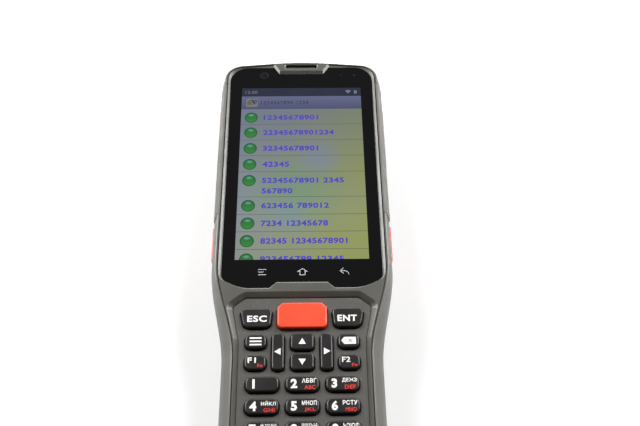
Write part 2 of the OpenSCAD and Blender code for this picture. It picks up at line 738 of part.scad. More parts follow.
module door_latch() {
    y1 = door_y1 - 2.5;
    color(rubber_black) {
        difference() {
            block([-latch_w / 2, latch_w / 2], [y1 - latch_l, y1], [door_z + 0.05, latch_z1]);
            for (i = [0:3]) block([-latch_w / 2 + 1, latch_w / 2 - 1], [y1 - 1.6 - 1.2 * i, y1 - 1 - 1.2 * i],
                [door_z - 1, door_z + 0.35]);
        }
        block([-latch_w / 2 - latch_lip, latch_w / 2 + latch_lip], [y1 - latch_l, y1],
            [latch_z1 - 0.35, latch_z1]);
        block([-latch_w / 2 + 2, latch_w / 2 - 2], [y1 - tiny, door_y1 + 1.2],
            [door_z + 0.15, latch_z1 - 0.05]);
    }
}

module port_flap() {
    color(rubber_black) difference() {
        block([-flap_w / 2, flap_w / 2], [flap_y, flap_y + flap_t], [flap_z0, flap_z1]);
        block([-2.5, 2.5], [flap_y - 1, flap_y + 0.5], [flap_z1 - 1, flap_z1 + 1]);
    }
}

// --- Keypad ----------------------------------------------------------------------------------------------

module keypad_panel() {
    color(panel_grey) difference() {
        prism(rounded(pad_corners), pad_floor, pad_z);
        for (k = key_outlines) prism(rounded(grown(k, key_gap), 3), pad_floor - 1, pad_z + 1);
    }
}

module key_seal() {
    color(rubber_black) difference() {
        prism(rounded(grown(pad_corners, -pad_ledge_w - 0.2)), pad_floor - seal_t, pad_floor);
        for (k = key_outlines) prism(rounded(grown(k, key_gap), 3), pad_floor - 1, pad_z);
    }
}

module keypad_board() {
    color(board_green) {
        prism(rounded(grown(pad_corners, -pad_ledge_w - 0.5)), keyboard_z, keyboard_z + board_t);
        for (c = key_centres) rod(c.x, c.y, keyboard_z + board_t, keyboard_z + board_t + dome_h, dome_r);
    }
}

// A key cap: its plunger, the flange that keeps it in, its straight sides and its rounded top
module key_cap(i, height) {
    k = key_outlines[i];
    z1 = pad_z + height;
    c = key_centres[i];
    rod(c.x, c.y, flange_z - plunger_l, flange_z, 1.2);
    prism(rounded(grown(k, flange_w), 3), flange_z, flange_z + flange_t);
    loft([[flange_z + flange_t, rounded(k, 3)], [z1 - 0.7, rounded(k, 3)],
        [z1 - 0.2, rounded(grown(k, -0.3), 3)], [z1, rounded(grown(k, -0.75), 3)]]);
}

module black_key(i) {
    color(key_black) key_cap(i, key_h);
}

module scan_key() {
    color(accent_orange) key_cap(0, scan_key_h);
}

module ent_key() { black_key(1); }
module esc_key() { black_key(2); }
module down_key() { black_key(3); }
module up_key() { black_key(4); }
module left_key() { black_key(5); }
module right_key() { black_key(6); }
module f1_key() { black_key(7); }
module menu_key() { black_key(8); }
module f2_key() { black_key(9); }
module backspace_key() { black_key(10); }
module key_1() { black_key(11); }
module key_2() { black_key(12); }
module key_3() { black_key(13); }
module key_4() { black_key(14); }
module key_5() { black_key(15); }
module key_6() { black_key(16); }
module key_7() { black_key(17); }
module key_8() { black_key(18); }
module key_9() { black_key(19); }
module key_star() { black_key(20); }
module key_0() { black_key(21); }
module key_hash() { black_key(22); }

// A key in the right side wall: the cap outside, and the flange behind the wall with a gap in front of it
module side_key(y, l, h, gap = side_gap) {
    cap_h = wall + side_proud + gap;
    cap = rounded(box_corners(l, h, 1.2), 3);
    translate([head_w / 2 - wall - gap, y, side_z]) rotate([90, 0, 90]) {
        prism(rounded(box_corners(l + 1, h + 1, 1), 3), -flange_t, 0);
        loft([[0, cap], [cap_h - 0.5, cap], [cap_h, rounded(box_corners(l - 1, h - 1, 0.8), 3)]]);
    }
}

module right_scan_key() {
    color(accent_orange) side_key(side_key_y, side_key_l, side_key_h);
}

module left_scan_key() {
    color(accent_orange) mirror([1, 0, 0]) side_key(side_key_y, side_key_l, side_key_h);
}

module power_key() {
    color(key_black) side_key(power_y, power_l, black_side_h);
}

module volume_key() {
    color(key_black) side_key(volume_y, volume_l, black_side_h, rocker_gap);
}

front_housing();
rear_housing();
left_rail();
right_rail();
scan_bezel();
scan_window();
scan_engine();
cover_glass();
display_panel();
mid_frame();
main_board();
shield_cans();
side_switches();
earpiece();
earpiece_mesh();
front_camera();
keypad_panel();
key_seal();
keypad_board();
housing_seal();
housing_screws();
battery();
battery_door();
door_latch();
rear_camera();
rear_lenses();
loudspeaker();
vibration_motor();
usb_socket();
io_board();
port_flap();
charge_contacts();
left_scan_key();
right_scan_key();
power_key();
volume_key();
scan_key();
esc_key();
ent_key();
up_key();
down_key();
left_key();
right_key();
menu_key();
backspace_key();
f1_key();
f2_key();
key_1();
key_2();
key_3();
key_4();
key_5();
key_6();
key_7();
key_8();
key_9();
key_star();
key_0();
key_hash();
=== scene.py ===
"""Portable barcode data terminal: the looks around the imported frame.

Lengths are in millimetres, in the frame's axes, and mesh() turns them into metres. Outlines are lists of
(x, y, radius) corners, which rounded() turns into points.
"""
import json
import math

import bmesh
import bpy
import numpy as np
from mathutils import Matrix, Vector

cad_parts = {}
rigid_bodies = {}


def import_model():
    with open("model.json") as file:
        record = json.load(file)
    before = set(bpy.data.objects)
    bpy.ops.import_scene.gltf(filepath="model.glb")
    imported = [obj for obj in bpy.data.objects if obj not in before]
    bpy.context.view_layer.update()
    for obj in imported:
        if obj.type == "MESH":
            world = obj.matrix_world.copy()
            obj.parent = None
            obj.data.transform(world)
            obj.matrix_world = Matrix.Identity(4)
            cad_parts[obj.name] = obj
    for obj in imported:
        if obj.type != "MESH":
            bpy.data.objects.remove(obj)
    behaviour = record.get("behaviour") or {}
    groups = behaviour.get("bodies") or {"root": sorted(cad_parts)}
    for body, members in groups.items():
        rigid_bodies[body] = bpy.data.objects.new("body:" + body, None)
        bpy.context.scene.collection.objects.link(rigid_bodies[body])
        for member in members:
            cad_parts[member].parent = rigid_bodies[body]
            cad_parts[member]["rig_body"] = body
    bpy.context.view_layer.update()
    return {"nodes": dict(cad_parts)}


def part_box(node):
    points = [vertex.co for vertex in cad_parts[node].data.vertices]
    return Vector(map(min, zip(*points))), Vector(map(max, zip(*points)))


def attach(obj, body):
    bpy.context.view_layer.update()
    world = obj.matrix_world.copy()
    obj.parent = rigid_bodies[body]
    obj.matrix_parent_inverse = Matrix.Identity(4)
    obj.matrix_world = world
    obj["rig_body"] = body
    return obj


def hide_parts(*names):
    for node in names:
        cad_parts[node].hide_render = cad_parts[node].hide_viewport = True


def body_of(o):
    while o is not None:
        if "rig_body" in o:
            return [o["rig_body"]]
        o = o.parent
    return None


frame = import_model()
MM = 0.001
ROOT = "terminal"


def box_mm(node):
    """The lowest and highest corner of a CAD node, in millimetres."""
    lo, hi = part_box(node)
    return np.array(lo) / MM, np.array(hi) / MM


# --- Sizes, from the frame where it has them ---
_, REAR_HI = box_mm("rear_housing")
FRONT_LO, FRONT_HI = box_mm("front_housing")
GLASS_LO, GLASS_HI = box_mm("cover_glass")
PAD_LO, PAD_HI = box_mm("keypad_panel")
SCREEN_LO, SCREEN_HI = box_mm("display_panel")
RAIL_LO, RAIL_HI = box_mm("right_rail")
BEZEL_LO, BEZEL_HI = box_mm("scan_bezel")
DOOR_LO, DOOR_HI = box_mm("battery_door")
BOARD_LO, BOARD_HI = box_mm("keypad_board")

HEAD_W, GRIP_W = 71.6, 60.4
TOP_Y = REAR_HI[1]
BODY_T = FRONT_HI[2]
SEAM_Z = FRONT_LO[2]
WALL = 2.4
# Corner radii: the rim's and the wall's at the head, the tail's, and the least that an inset leaves
HEAD_R, HEAD_WALL_R, TAIL_R, LEAST_R = 10, 8, 13, 2
# How far the ends bow outwards, and the radius in the middle of each bow
HEAD_BOW, TAIL_BOW, BOW_R = 2.9, 1.6, 150
# Where the taper from the head to the grip starts and ends
SHOULDER_Y = GLASS_LO[1] + 11.3
WAIST_Y = SHOULDER_Y - 40
# Steps of the arcs in the body's outline, and points along its taper
RING_STEPS, TAPER_POINTS = 14, 26

# Sections of the shells: height, and inset of the head's side, of the grip's side and of the ends
REAR_SECTION = [(0, 5.4, 9.4, 4.4), (0.8, 3.5, 7.3, 2.6), (2.2, 1.8, 5.2, 1.2), (3.6, 0.7, 3.4, 0.4),
                (5.2, 0, 2, 0), (8.5, 0, 0.6, 0), (SEAM_Z - 0.35, 0, 0, 0), (SEAM_Z, 0.18, 0.18, 0.18)]
FRONT_SIDE = [(SEAM_Z, 0.18, 0.18, 0.18), (SEAM_Z + 0.35, 0, 0, 0)]
FRONT_SIDE += [(BODY_T - depth, *insets) for depth, *insets in (
    (8.6, 0, 0, 0), (6.5, 0.2, 0.45, 0.1), (5.1, 0.5, 1.1, 0.3), (3.8, 0.85, 1.85, 0.5),
    (2.6, 1.2, 2.7, 0.7), (1.6, 1.5, 3.4, 0.82), (1, 1.7, 3.85, 0.9))]
FRONT_EDGE = [(BODY_T - depth, *insets) for depth, *insets in (
    (0.55, 1.84, 4.12, 1.0), (0.24, 1.92, 4.2, 1.05), (0.16, 1.99, 4.27, 1.1), (0, 2.4, 4.68, 1.42))]

LEDGE_Z, GLASS_Z = GLASS_LO[2], GLASS_HI[2]
PAD_FLOOR, PAD_Z = PAD_LO[2], PAD_HI[2]
PAD_Y0, PAD_Y1 = PAD_LO[1], PAD_HI[1]
PAD_W = GRIP_W - 13.6
DECK_Z = SCREEN_LO[2]

# The lit screen on the glass, and the lower edges of its title bar and its status bar
LIT_W, LIT_H = 52.3, 87.1
LIT_Y0 = GLASS_LO[1] + 12.3
LIT_Y1 = LIT_Y0 + LIT_H
TITLE_Y, STATUS_Y = LIT_Y0 + 75.2, LIT_Y0 + 82.4


# --- Outlines ---
def unit(v):
    return v / np.linalg.norm(v)


def round_corner(a, b, c, r, n):
    """One corner of an outline as an arc of n steps; radius 0 keeps it sharp."""
    if r == 0:
        return [b]
    u, v = unit(a - b), unit(c - b)
    half = math.acos(float(np.clip(u @ v, -1, 1))) / 2
    mid = b + unit(u + v) * r / math.sin(half)
    s, e = b + u * r / math.tan(half) - mid, b + v * r / math.tan(half) - mid
    turn = math.pi - 2 * half
    return [mid + (s * math.sin(turn * (1 - k / n)) + e * math.sin(turn * k / n)) / math.sin(turn)
            for k in range(n + 1)]


def rounded(corners, n=10):
    """The points of an outline, with each corner as an arc of n steps."""
    p = [np.array(c[:2], float) for c in corners]
    m = len(p)
    return np.array([q for i in range(m)
                     for q in round_corner(p[i - 1], p[i], p[(i + 1) % m], corners[i][2], n)])


def grown(corners, d):
    """The same corners moved outwards by d, with their radii to suit."""
    out, m = [], len(corners)
    for i in range(m):
        a, b, c = (np.array(corners[j % m][:2], float) for j in (i - 1, i, i + 1))
        n1, n2 = unit(np.array([b[1] - a[1], a[0] - b[0]])), unit(np.array([c[1] - b[1], b[0] - c[0]]))
        q = b + d * (n1 + n2) / (1 + n1 @ n2)
        convex = n1[0] * n2[1] - n1[1] * n2[0] > 0
        r = corners[i][2]
        out.append((q[0], q[1], 0 if r == 0 else max(0.15, r + (d if convex else -d))))
    return out


def moved(corners, x, y):
    return [(c[0] + x, c[1] + y, c[2]) for c in corners]


def flipped(corners):
    return [(-c[0], c[1], c[2]) for c in reversed(corners)]


def mirrored(right):
    return right + flipped(right)


def box_corners(w, l, r, x=0, y=0):
    return moved([(-w / 2, -l / 2, r), (w / 2, -l / 2, r), (w / 2, l / 2, r), (-w / 2, l / 2, r)], x, y)


def footprint(lo, hi, r, gap=0.0):
    """The outline of a box seen from above, with rounded corners."""
    x, y, _ = (lo + hi) / 2
    return box_corners(hi[0] - lo[0] + gap, hi[1] - lo[1] + gap, r, x, y)


def circle(r, n):
    a = np.arange(n) * 2 * math.pi / n
    return np.column_stack([np.cos(a), np.sin(a)]) * r


def side_x(y, head_in, grip_in):
    """Half the width at y, which changes smoothly from the grip to the head."""
    t = min(1, max(0, (y - WAIST_Y) / (SHOULDER_Y - WAIST_Y)))
    share = 1 - t * t * (3 - 2 * t)
    return (1 - share) * (HEAD_W / 2 - head_in) + share * (GRIP_W / 2 - grip_in)


def crest(bow, half_w):
    """How far the sharp corner in the middle of a bow lies beyond its rounding."""
    return BOW_R * (math.hypot(bow, half_w) / half_w - 1)


def body_ring(head_in, grip_in=None, end_in=None):
    """The body's outline, inset from the head's side, the grip's side and the ends."""
    grip_in = head_in if grip_in is None else grip_in
    end_in = head_in if end_in is None else end_in
    gx, hx = GRIP_W / 2 - grip_in, HEAD_W / 2 - head_in
    tail_y = end_in - TOP_Y - crest(TAIL_BOW, gx)
    head_y = TOP_Y - end_in + crest(HEAD_BOW, hx)
    head_r = max(LEAST_R, min(HEAD_R - head_in, HEAD_WALL_R - head_in / 6))
    side = [(side_x(y, head_in, grip_in), y, 0) for y in np.linspace(WAIST_Y, SHOULDER_Y, TAPER_POINTS)]
    right = [(gx, tail_y + TAIL_BOW, max(LEAST_R, TAIL_R - grip_in)), *side, (hx, head_y - HEAD_BOW, head_r)]
    return rounded([(0, tail_y, BOW_R), *right, (0, head_y, BOW_R), *flipped(right)], RING_STEPS)


def softened(rows, passes):
    """A section with its corners cut off, once in each pass, between the same ends."""
    p = [np.array(r, float) for r in rows]
    for _ in range(passes):
        inner = [q for a, b in zip(p, p[1:]) for q in (a * 0.75 + b * 0.25, a * 0.25 + b * 0.75)]
        p = [p[0], *inner, p[-1]]
    return p


FRONT_SECTION = softened(FRONT_SIDE, 1) + [np.array(row) for row in FRONT_EDGE]


# --- Meshes ---
# Points nearer than this become one: in a piece, and in a copy of a CAD node
WELD, CAD_WELD = 0.002 * MM, 0.004 * MM


def linked(name, data):
    obj = bpy.data.objects.new(name, data)
    bpy.context.scene.collection.objects.link(obj)
    return obj


def change(data, steps):
    """Takes a mesh's data through some steps in bmesh."""
    bm = bmesh.new()
    bm.from_mesh(data)
    steps(bm)
    bm.to_mesh(data)
    bm.free()


def mesh(name, verts, faces):
    """A mesh object from points in millimetres."""
    data = bpy.data.meshes.new(name)
    data.from_pydata([Vector(v) * MM for v in verts], [], [list(map(int, f)) for f in faces])
    change(data, lambda bm: bmesh.ops.recalc_face_normals(bm, faces=bm.faces))
    return linked(name, data)


def merged(parts):
    """Points and faces of several solids, as one."""
    verts, faces = [], []
    for v, f in parts:
        faces += [[len(verts) + i for i in face] for face in f]
        verts += [tuple(p) for p in v]
    return verts, faces


def at_z(points, z):
    return np.column_stack([points, np.full(len(points), float(z))])


def loft_of(rings):
    """A closed solid through rings of equal point counts, each an array of (x, y, z)."""
    n = len(rings[0])
    faces = [(j * n + i, j * n + (i + 1) % n, (j + 1) * n + (i + 1) % n, (j + 1) * n + i)
             for j in range(len(rings) - 1) for i in range(n)]
    faces += [tuple(range(n - 1, -1, -1)), tuple((len(rings) - 1) * n + i for i in range(n))]
    return np.vstack(rings), faces


def stepped(corners, levels, n=10):
    """A solid of one outline, grown by a step at each (height, growth)."""
    return loft_of([at_z(rounded(grown(corners, g) if g else corners, n), z) for z, g in levels])


def plate(points, z0, z1):
    """A flat solid of one outline, between two heights."""
    return loft_of([at_z(points, z0), at_z(points, z1)])


def block(x, y, z):
    return plate(np.array([(x[0], y[0]), (x[1], y[0]), (x[1], y[1]), (x[0], y[1])]), *z)


def turned(x, y, levels, n=40):
    """A turned solid about a vertical axis, through (height, radius) levels."""
    return loft_of([at_z(circle(r, n) + (x, y), z) for z, r in levels])


def mirror(part):
    verts, faces = part
    return np.array(verts) * (-1, 1, 1), faces


def pair(part):
    return [part, mirror(part)]


def room(node, gap):
    """The block that a node fills, with a gap all round."""
    lo, hi = box_mm(node)
    return block(*[(a - gap, b + gap) for a, b in zip(lo, hi)])


def ribbon(points, width, z, closed=False):
    """A flat line of an even width along points, between two heights."""
    p, n = np.array(points, float), len(points)
    verts, faces = [], []
    for i in range(n):
        before = p[i] - p[i - 1] if i or closed else p[1] - p[0]
        after = p[(i + 1) % n] - p[i] if i < n - 1 or closed else p[i] - p[i - 1]
        n1, n2 = (unit(np.array([-d[1], d[0]])) for d in (before, after))
        off = (n1 + n2) / (1 + n1 @ n2) * width / 2
        verts += [(*(p[i] + s * off), h) for s in (1, -1) for h in z]
    for i in range(n if closed else n - 1):
        a, b = 4 * i, 4 * ((i + 1) % n)
        faces += [(a + k, a + m, b + m, b + k) for k, m in ((0, 1), (1, 3), (3, 2), (2, 0))]
    if not closed:
        faces += [(0, 2, 3, 1), tuple(4 * (n - 1) + k for k in (0, 1, 3, 2))]
    return verts, faces


def lettering(text, height, x, y, z, bold=0.0, anchor=0.0, width=None):
    """Thin raised characters of a given height; anchor 0 starts at x and 0.5 centres there."""
    curve = bpy.data.curves.new("lettering", "FONT")
    curve.body, curve.offset, curve.extrude, curve.resolution_u = text, bold, 0.5, 3
    curve.space_character = 1.08
    obj = linked("lettering", curve)
    graph = bpy.context.evaluated_depsgraph_get()
    data = bpy.data.meshes.new_from_object(obj.evaluated_get(graph))
    co = np.array([v.co for v in data.vertices])
    faces = [tuple(f.vertices) for f in data.polygons]
    bpy.data.objects.remove(obj)
    bpy.data.curves.remove(curve)
    bpy.data.meshes.remove(data)
    lo, size = co.min(0), np.ptp(co, 0)
    scale_y = height / size[1]
    scale_x = width / size[0] if width else scale_y
    out = (co - lo) * (scale_x, scale_y, (z[1] - z[0]) / size[2])
    return out + (x - anchor * size[0] * scale_x, y - height / 2, z[0]), faces


def apply_modifiers(obj):
    graph = bpy.context.evaluated_depsgraph_get()
    graph.update()
    data = bpy.data.meshes.new_from_object(obj.evaluated_get(graph))
    obj.modifiers.clear()
    obj.data = data


def cut(obj, *groups, operation="DIFFERENCE"):
    """Takes each group of solids out of the object, or adds it. The solids of a group don't meet."""
    cutters = [mesh("cutter", *merged(g)) for g in groups]
    for c in cutters:
        mod = obj.modifiers.new("cut", "BOOLEAN")
        mod.operation, mod.solver, mod.object = operation, "EXACT", c
    apply_modifiers(obj)
    for c in cutters:
        bpy.data.objects.remove(c)


def shade(obj, angle):
    """Smooth faces with sharp edges past the angle, and flat faces that stay flat."""
    def smooth(bm):
        bmesh.ops.remove_doubles(bm, verts=bm.verts, dist=WELD)
        for f in bm.faces:
            f.smooth = True
        for e in bm.edges:
            e.smooth = e.calc_face_angle(0) < math.radians(angle)

    change(obj.data, smooth)
    mod = obj.modifiers.new("flat faces", "WEIGHTED_NORMAL")
    mod.keep_sharp, mod.weight = True, 60
    return obj


def place(obj, material, body=ROOT, replaces=()):
    """The piece's finish, the body that it rides on and the CAD nodes that it stands for."""
    obj.data.materials.append(material)
    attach(obj, body)
    if replaces:
        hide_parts(*replaces)


def piece(name, parts, material, body=ROOT, replaces=(), angle=32):
    """One piece of the model, from the points and faces of its solids."""
    place(shade(mesh(name, *merged(parts)), angle), material, body, replaces)


def points_and_faces(obj):
    return [v.co / MM for v in obj.data.vertices], [tuple(f.vertices) for f in obj.data.polygons]


def data_of(obj):
    """The object's points and faces, and the object is used up."""
    part = points_and_faces(obj)
    bpy.data.objects.remove(obj)
    return part


def dressed(node, material, width):
    """A CAD node's shape with its sharp edges rounded."""
    def clean(bm):
        bmesh.ops.remove_doubles(bm, verts=bm.verts, dist=CAD_WELD)
        bmesh.ops.dissolve_limit(bm, angle_limit=math.radians(0.5), verts=bm.verts, edges=bm.edges)

    source = frame["nodes"][node]
    obj = mesh(node + "_piece", *points_and_faces(source))
    change(obj.data, clean)
    mod = obj.modifiers.new("edges", "BEVEL")
    mod.width, mod.segments, mod.limit_method = width * MM, 2, "ANGLE"
    mod.angle_limit = math.radians(30)
    apply_modifiers(obj)
    place(shade(obj, 35), material, body_of(source)[0], [node])


# --- Materials ---
def linear(rgb):
    """A colour given as 0 to 255 values on a screen."""
    c = np.array(rgb, float) / 255
    return tuple(np.where(c <= 0.04045, c / 12.92, ((c + 0.055) / 1.055) ** 2.4)) + (1.0,)


def shades(rgb, tint):
    """A little darker and a little lighter than a colour."""
    base = np.array(linear(rgb)[:3])
    return [(*np.minimum(base * k, 1), 1.0) for k in (1 - tint, 1 + tint)]


class Shader:
    """The nodes of a material or a world, and the main one among them."""

    def __init__(self, owner, main="Principled BSDF"):
        owner.use_nodes = True
        self.tree = owner.node_tree
        self.main = self.tree.nodes[main]

    def wire(self, value, socket):
        """Links an output to the socket, or sets a plain value there."""
        if isinstance(value, bpy.types.NodeSocket):
            self.tree.links.new(value, socket)
        else:
            socket.default_value = value

    def put(self, values):
        """Wires values to the main node's sockets, by their names."""
        for name, value in values.items():
            self.wire(value, self.main.inputs[name])

    def coords(self, kind="Object"):
        return self.tree.nodes.new("ShaderNodeTexCoord").outputs[kind]

    def axes(self, kind="Object"):
        made = self.tree.nodes.new("ShaderNodeSeparateXYZ")
        self.wire(self.coords(kind), made.inputs[0])
        return made.outputs

    def noise(self, size, detail=3.0):
        """Smooth noise whose features are about this many millimetres wide."""
        made = self.tree.nodes.new("ShaderNodeTexNoise")
        self.wire(self.coords(), made.inputs["Vector"])
        made.inputs["Scale"].default_value = 1 / (size * MM)
        made.inputs["Detail"].default_value = detail
        return made.outputs["Fac"]

    def spread(self, source, lo, hi, to_lo, to_hi):
        """Maps lo to hi onto to_lo to to_hi, and stops there."""
        made = self.tree.nodes.new("ShaderNodeMapRange")
        for value, socket in zip((source, lo, hi, to_lo, to_hi), made.inputs):
            self.wire(value, socket)
        return made.outputs[0]

    def math(self, operation, a, b):
        made = self.tree.nodes.new("ShaderNodeMath")
        made.operation = operation
        self.wire(a, made.inputs[0])
        self.wire(b, made.inputs[1])
        return made.outputs[0]

    def square(self, a):
        return self.math("MULTIPLY", a, a)

    def length(self, square_x, square_y):
        return self.math("SQRT", self.math("ADD", square_x, square_y), 0.0)

    def mix(self, a, b, share):
        made = self.tree.nodes.new("ShaderNodeMix")
        made.data_type = "RGBA"
        colours = [s for s in made.inputs if s.type == "RGBA"]
        self.wire(share, made.inputs[0])
        self.wire(a, colours[0])
        self.wire(b, colours[1])
        return [s for s in made.outputs if s.type == "RGBA"][0]

    def bump(self, height, strength, depth):
        made = self.tree.nodes.new("ShaderNodeBump")
        made.inputs["Strength"].default_value = strength
        made.inputs["Distance"].default_value = depth * MM
        self.wire(height, made.inputs["Height"])
        self.put({"Normal": made.outputs["Normal"]})


DUST_RGB, COAT_ROUGH, GRAIN_DEPTH = (190, 185, 175), 0.12, 0.03
DARK_GLASS_RGB = (6, 6, 7)


def plastic(name, rgb, rough, grain=0.0, grain_mm=0.3, tint=0.05, dust=0.0, coat=0.0, metal=0.0, gloss=0.5):
    """A moulded finish: a little uneven in colour and gloss, with its mould's grain and some dust."""
    material = bpy.data.materials.new(name)
    s = Shader(material)
    colour = s.mix(*shades(rgb, tint), s.spread(s.noise(11, 4), 0.35, 0.65, 0.0, 1.0))
    if dust:
        colour = s.mix(colour, linear(DUST_RGB), s.spread(s.noise(0.45, 1), 0.7, 0.74, 0.0, dust))
    sheen = s.spread(s.noise(6, 3), 0.3, 0.7, rough * 0.88, min(1, rough * 1.12))
    s.put({"Base Color": colour, "Roughness": sheen, "Metallic": metal, "Specular IOR Level": gloss,
           "Coat Weight": coat, "Coat Roughness": COAT_ROUGH})
    if grain:
        s.bump(s.noise(grain_mm, 2), grain, GRAIN_DEPTH)
    return material


def lit(name, colour_of, glow=0.9):
    """A lit part of the screen, under glass: colour_of builds its colour from the shader."""
    material = bpy.data.materials.new(name)
    s = Shader(material)
    s.put({"Base Color": linear(DARK_GLASS_RGB), "Roughness": s.spread(s.noise(8), 0.3, 0.7, 0.05, 0.08),
           "Emission Color": colour_of(s), "Emission Strength": glow})
    return material


def uneven(rgb, tint=0.06, size=5):
    """A lit colour that varies a little."""
    return lambda s: s.mix(*shades(rgb, tint), s.spread(s.noise(size), 0.3, 0.7, 0.0, 1.0))


# Soft spots on the wallpaper: middle and reach in mm, colour and strength
SPOTS = [((-2, 32), 22, (118, 160, 124), 0.6), ((-5.5, 20), 10, (128, 152, 172), 0.55),
         ((7, 49), 11, (136, 148, 178), 0.65)]


def wallpaper(s):
    """Grey-blue at the top left to olive at the bottom right, dimmer at the top, with soft spots."""
    x, y, _ = s.axes()
    across = s.spread(x, -LIT_W / 2 * MM, LIT_W / 2 * MM, 0.0, 0.6)
    down = s.spread(y, LIT_Y1 * MM, LIT_Y0 * MM, 0.0, 0.5)
    slant = s.math("ADD", s.math("ADD", across, down), s.spread(s.noise(28, 1), 0.3, 0.7, -0.07, 0.07))
    colour = s.mix(linear((136, 146, 166)), linear((152, 160, 98)), s.spread(slant, 0.15, 1.0, 0.0, 1.0))
    for (spot_x, spot_y), reach, rgb, strength in SPOTS:
        dx, dy = s.math("SUBTRACT", x, spot_x * MM), s.math("SUBTRACT", y, (LIT_Y0 + spot_y) * MM)
        away = s.length(s.square(dx), s.square(dy))
        colour = s.mix(colour, linear(rgb), s.spread(away, 0.1 * reach * MM, reach * MM, strength, 0.0))
    dim = s.spread(y, (LIT_Y0 + 24) * MM, (LIT_Y0 + 72) * MM, 0.0, 0.26)
    return s.mix(colour, (0, 0, 0, 1), dim)


def title_blue(s):
    """The title bar, paler towards its top."""
    share = s.spread(s.axes()[1], TITLE_Y * MM, STATUS_Y * MM, 0.0, 1.0)
    return s.mix(linear((82, 88, 122)), linear((106, 112, 144)), share)


def green_ball(s):
    """A glossy green round button, about its own middle."""
    x, y, _ = s.axes()
    reach = s.length(s.square(x), s.square(y))
    body = s.mix(linear((56, 132, 58)), linear((44, 108, 62)), s.spread(y, -2 * MM, 1.5 * MM, 0.0, 1.0))
    up = s.math("SUBTRACT", y, 1.3 * MM)
    spot = s.length(s.math("MULTIPLY", s.square(x), 0.3), s.square(up))
    shine = s.spread(spot, 0.1 * MM, 0.9 * MM, 0.5, 0.0)
    edge = s.spread(reach, 2.2 * MM, 2.75 * MM, 0.0, 0.85)
    return s.mix(s.mix(body, linear((138, 200, 176)), shine), linear((18, 66, 44)), edge)


SHELL = plastic("shell_plastic", (80, 79, 73), 0.34, grain=0.12, grain_mm=0.35)
RAIL = plastic("rail_plastic", (97, 96, 90), 0.46, grain=0.15, grain_mm=0.4, gloss=0.3)
PANEL = plastic("panel_plastic", (74, 72, 68), 0.48, grain=0.4, dust=0.3)
KEY = plastic("key_plastic", (24, 21, 21), 0.33)
ACCENT = plastic("accent_plastic", (232, 74, 44), 0.34, grain=0.12, grain_mm=0.4, tint=0.03)
GLASS = plastic("cover_glass_black", (7, 7, 9), 0.06, tint=0.1)
RUBBER = plastic("rubber_black", (30, 30, 31), 0.7, grain=0.5, grain_mm=0.25)
DARK = plastic("dark_inside", (14, 14, 15), 0.6, grain=0.2)
STEEL = plastic("steel", (176, 178, 182), 0.3, grain=0.1, grain_mm=0.2, metal=1.0)
ALLOY = plastic("alloy", (160, 162, 165), 0.4, grain=0.15, metal=1.0)
GOLD = plastic("contact_gold", (214, 176, 92), 0.22, tint=0.03, metal=1.0)
BOARD = plastic("board_green", (16, 66, 40), 0.4, grain=0.3, grain_mm=1.2, tint=0.12)
CELL = plastic("cell_wrap", (60, 64, 72), 0.35, grain=0.1, grain_mm=0.8)
WINDOW = plastic("window_red", (52, 8, 10), 0.05, tint=0.1, coat=0.5)
LENS = plastic("lens_black", (8, 8, 12), 0.04, tint=0.1, coat=0.5)
EYE_RING = plastic("eye_ring", (19, 19, 22), 0.25)
FLASH = plastic("flash_yellow", (222, 210, 160), 0.15, coat=0.4)
WHITE_INK = plastic("white_ink", (236, 236, 232), 0.4, tint=0.03)
RED_INK = plastic("red_ink", (206, 44, 40), 0.4)
GREY_INK = plastic("grey_ink", (168, 170, 172), 0.4, tint=0.04)
WALLPAPER = lit("screen_wallpaper", wallpaper)
TITLE = lit("screen_title", title_blue, 0.86)
STATUS = lit("screen_status", uneven((44, 49, 68)))
SCREEN_TEXT = lit("screen_text", uneven((84, 72, 190)), 0.95)
SCREEN_LINE = lit("screen_line", uneven((104, 112, 104)), 0.85)
SCREEN_PALE = lit("screen_pale", uneven((122, 128, 146)))
SCREEN_DIM = lit("screen_dim", uneven((54, 58, 80)))
SCREEN_ICON = lit("screen_icon", uneven((122, 120, 126), 0.12, 1.6))
SCREEN_OLIVE = lit("screen_olive", uneven((104, 104, 66), 0.1, 1.6))
BUTTON = lit("screen_button", green_ball, 1.0)


# --- Housings ---
# The glass: slanted at its foot, and notched at the top round the earpiece's plate
GLASS_X, GLASS_Y0, GLASS_Y1 = GLASS_HI[0], GLASS_LO[1], GLASS_HI[1]
GLASS_TOP, NOTCH_Y = GLASS_Y1 + 0.8, GLASS_Y1 - 3.1
NOTCH_X, NOTCH_LEAN = 9.7, 0.613
GLASS_FOOT = [(9.8, GLASS_Y0 + 2.5, 0.8), (12.6, GLASS_Y0, 0.8), (GLASS_X - 8, GLASS_Y0, 16),
              (GLASS_X, GLASS_Y0 + 4, 4.5)]
GLASS_OUTLINE = mirrored(GLASS_FOOT + [(GLASS_X, GLASS_TOP, 8),
                                       (NOTCH_X + NOTCH_LEAN * (GLASS_TOP - NOTCH_Y), GLASS_TOP, 0.8),
                                       (NOTCH_X, NOTCH_Y, 0.8)])

# Insets of the rim's outer edge at the side and the top, and the run of its slope at the notched plate
RIM_IN, RIM_TOP_IN = 3.4, 1.5
PLATE_SLOPE = 1.9

# The groove inside the crest: insets at the head's side, the grip's side and the ends
LINE_IN, LINE_W = 2.95, 0.34
LINE_OUTER, LINE_INNER = (LINE_IN, 4.78, 1.75), (LINE_IN + LINE_W + 0.02, 5.12, 2.1)
RAIL_X, RAIL_OUT = HEAD_W / 2 - LINE_IN, 0.3

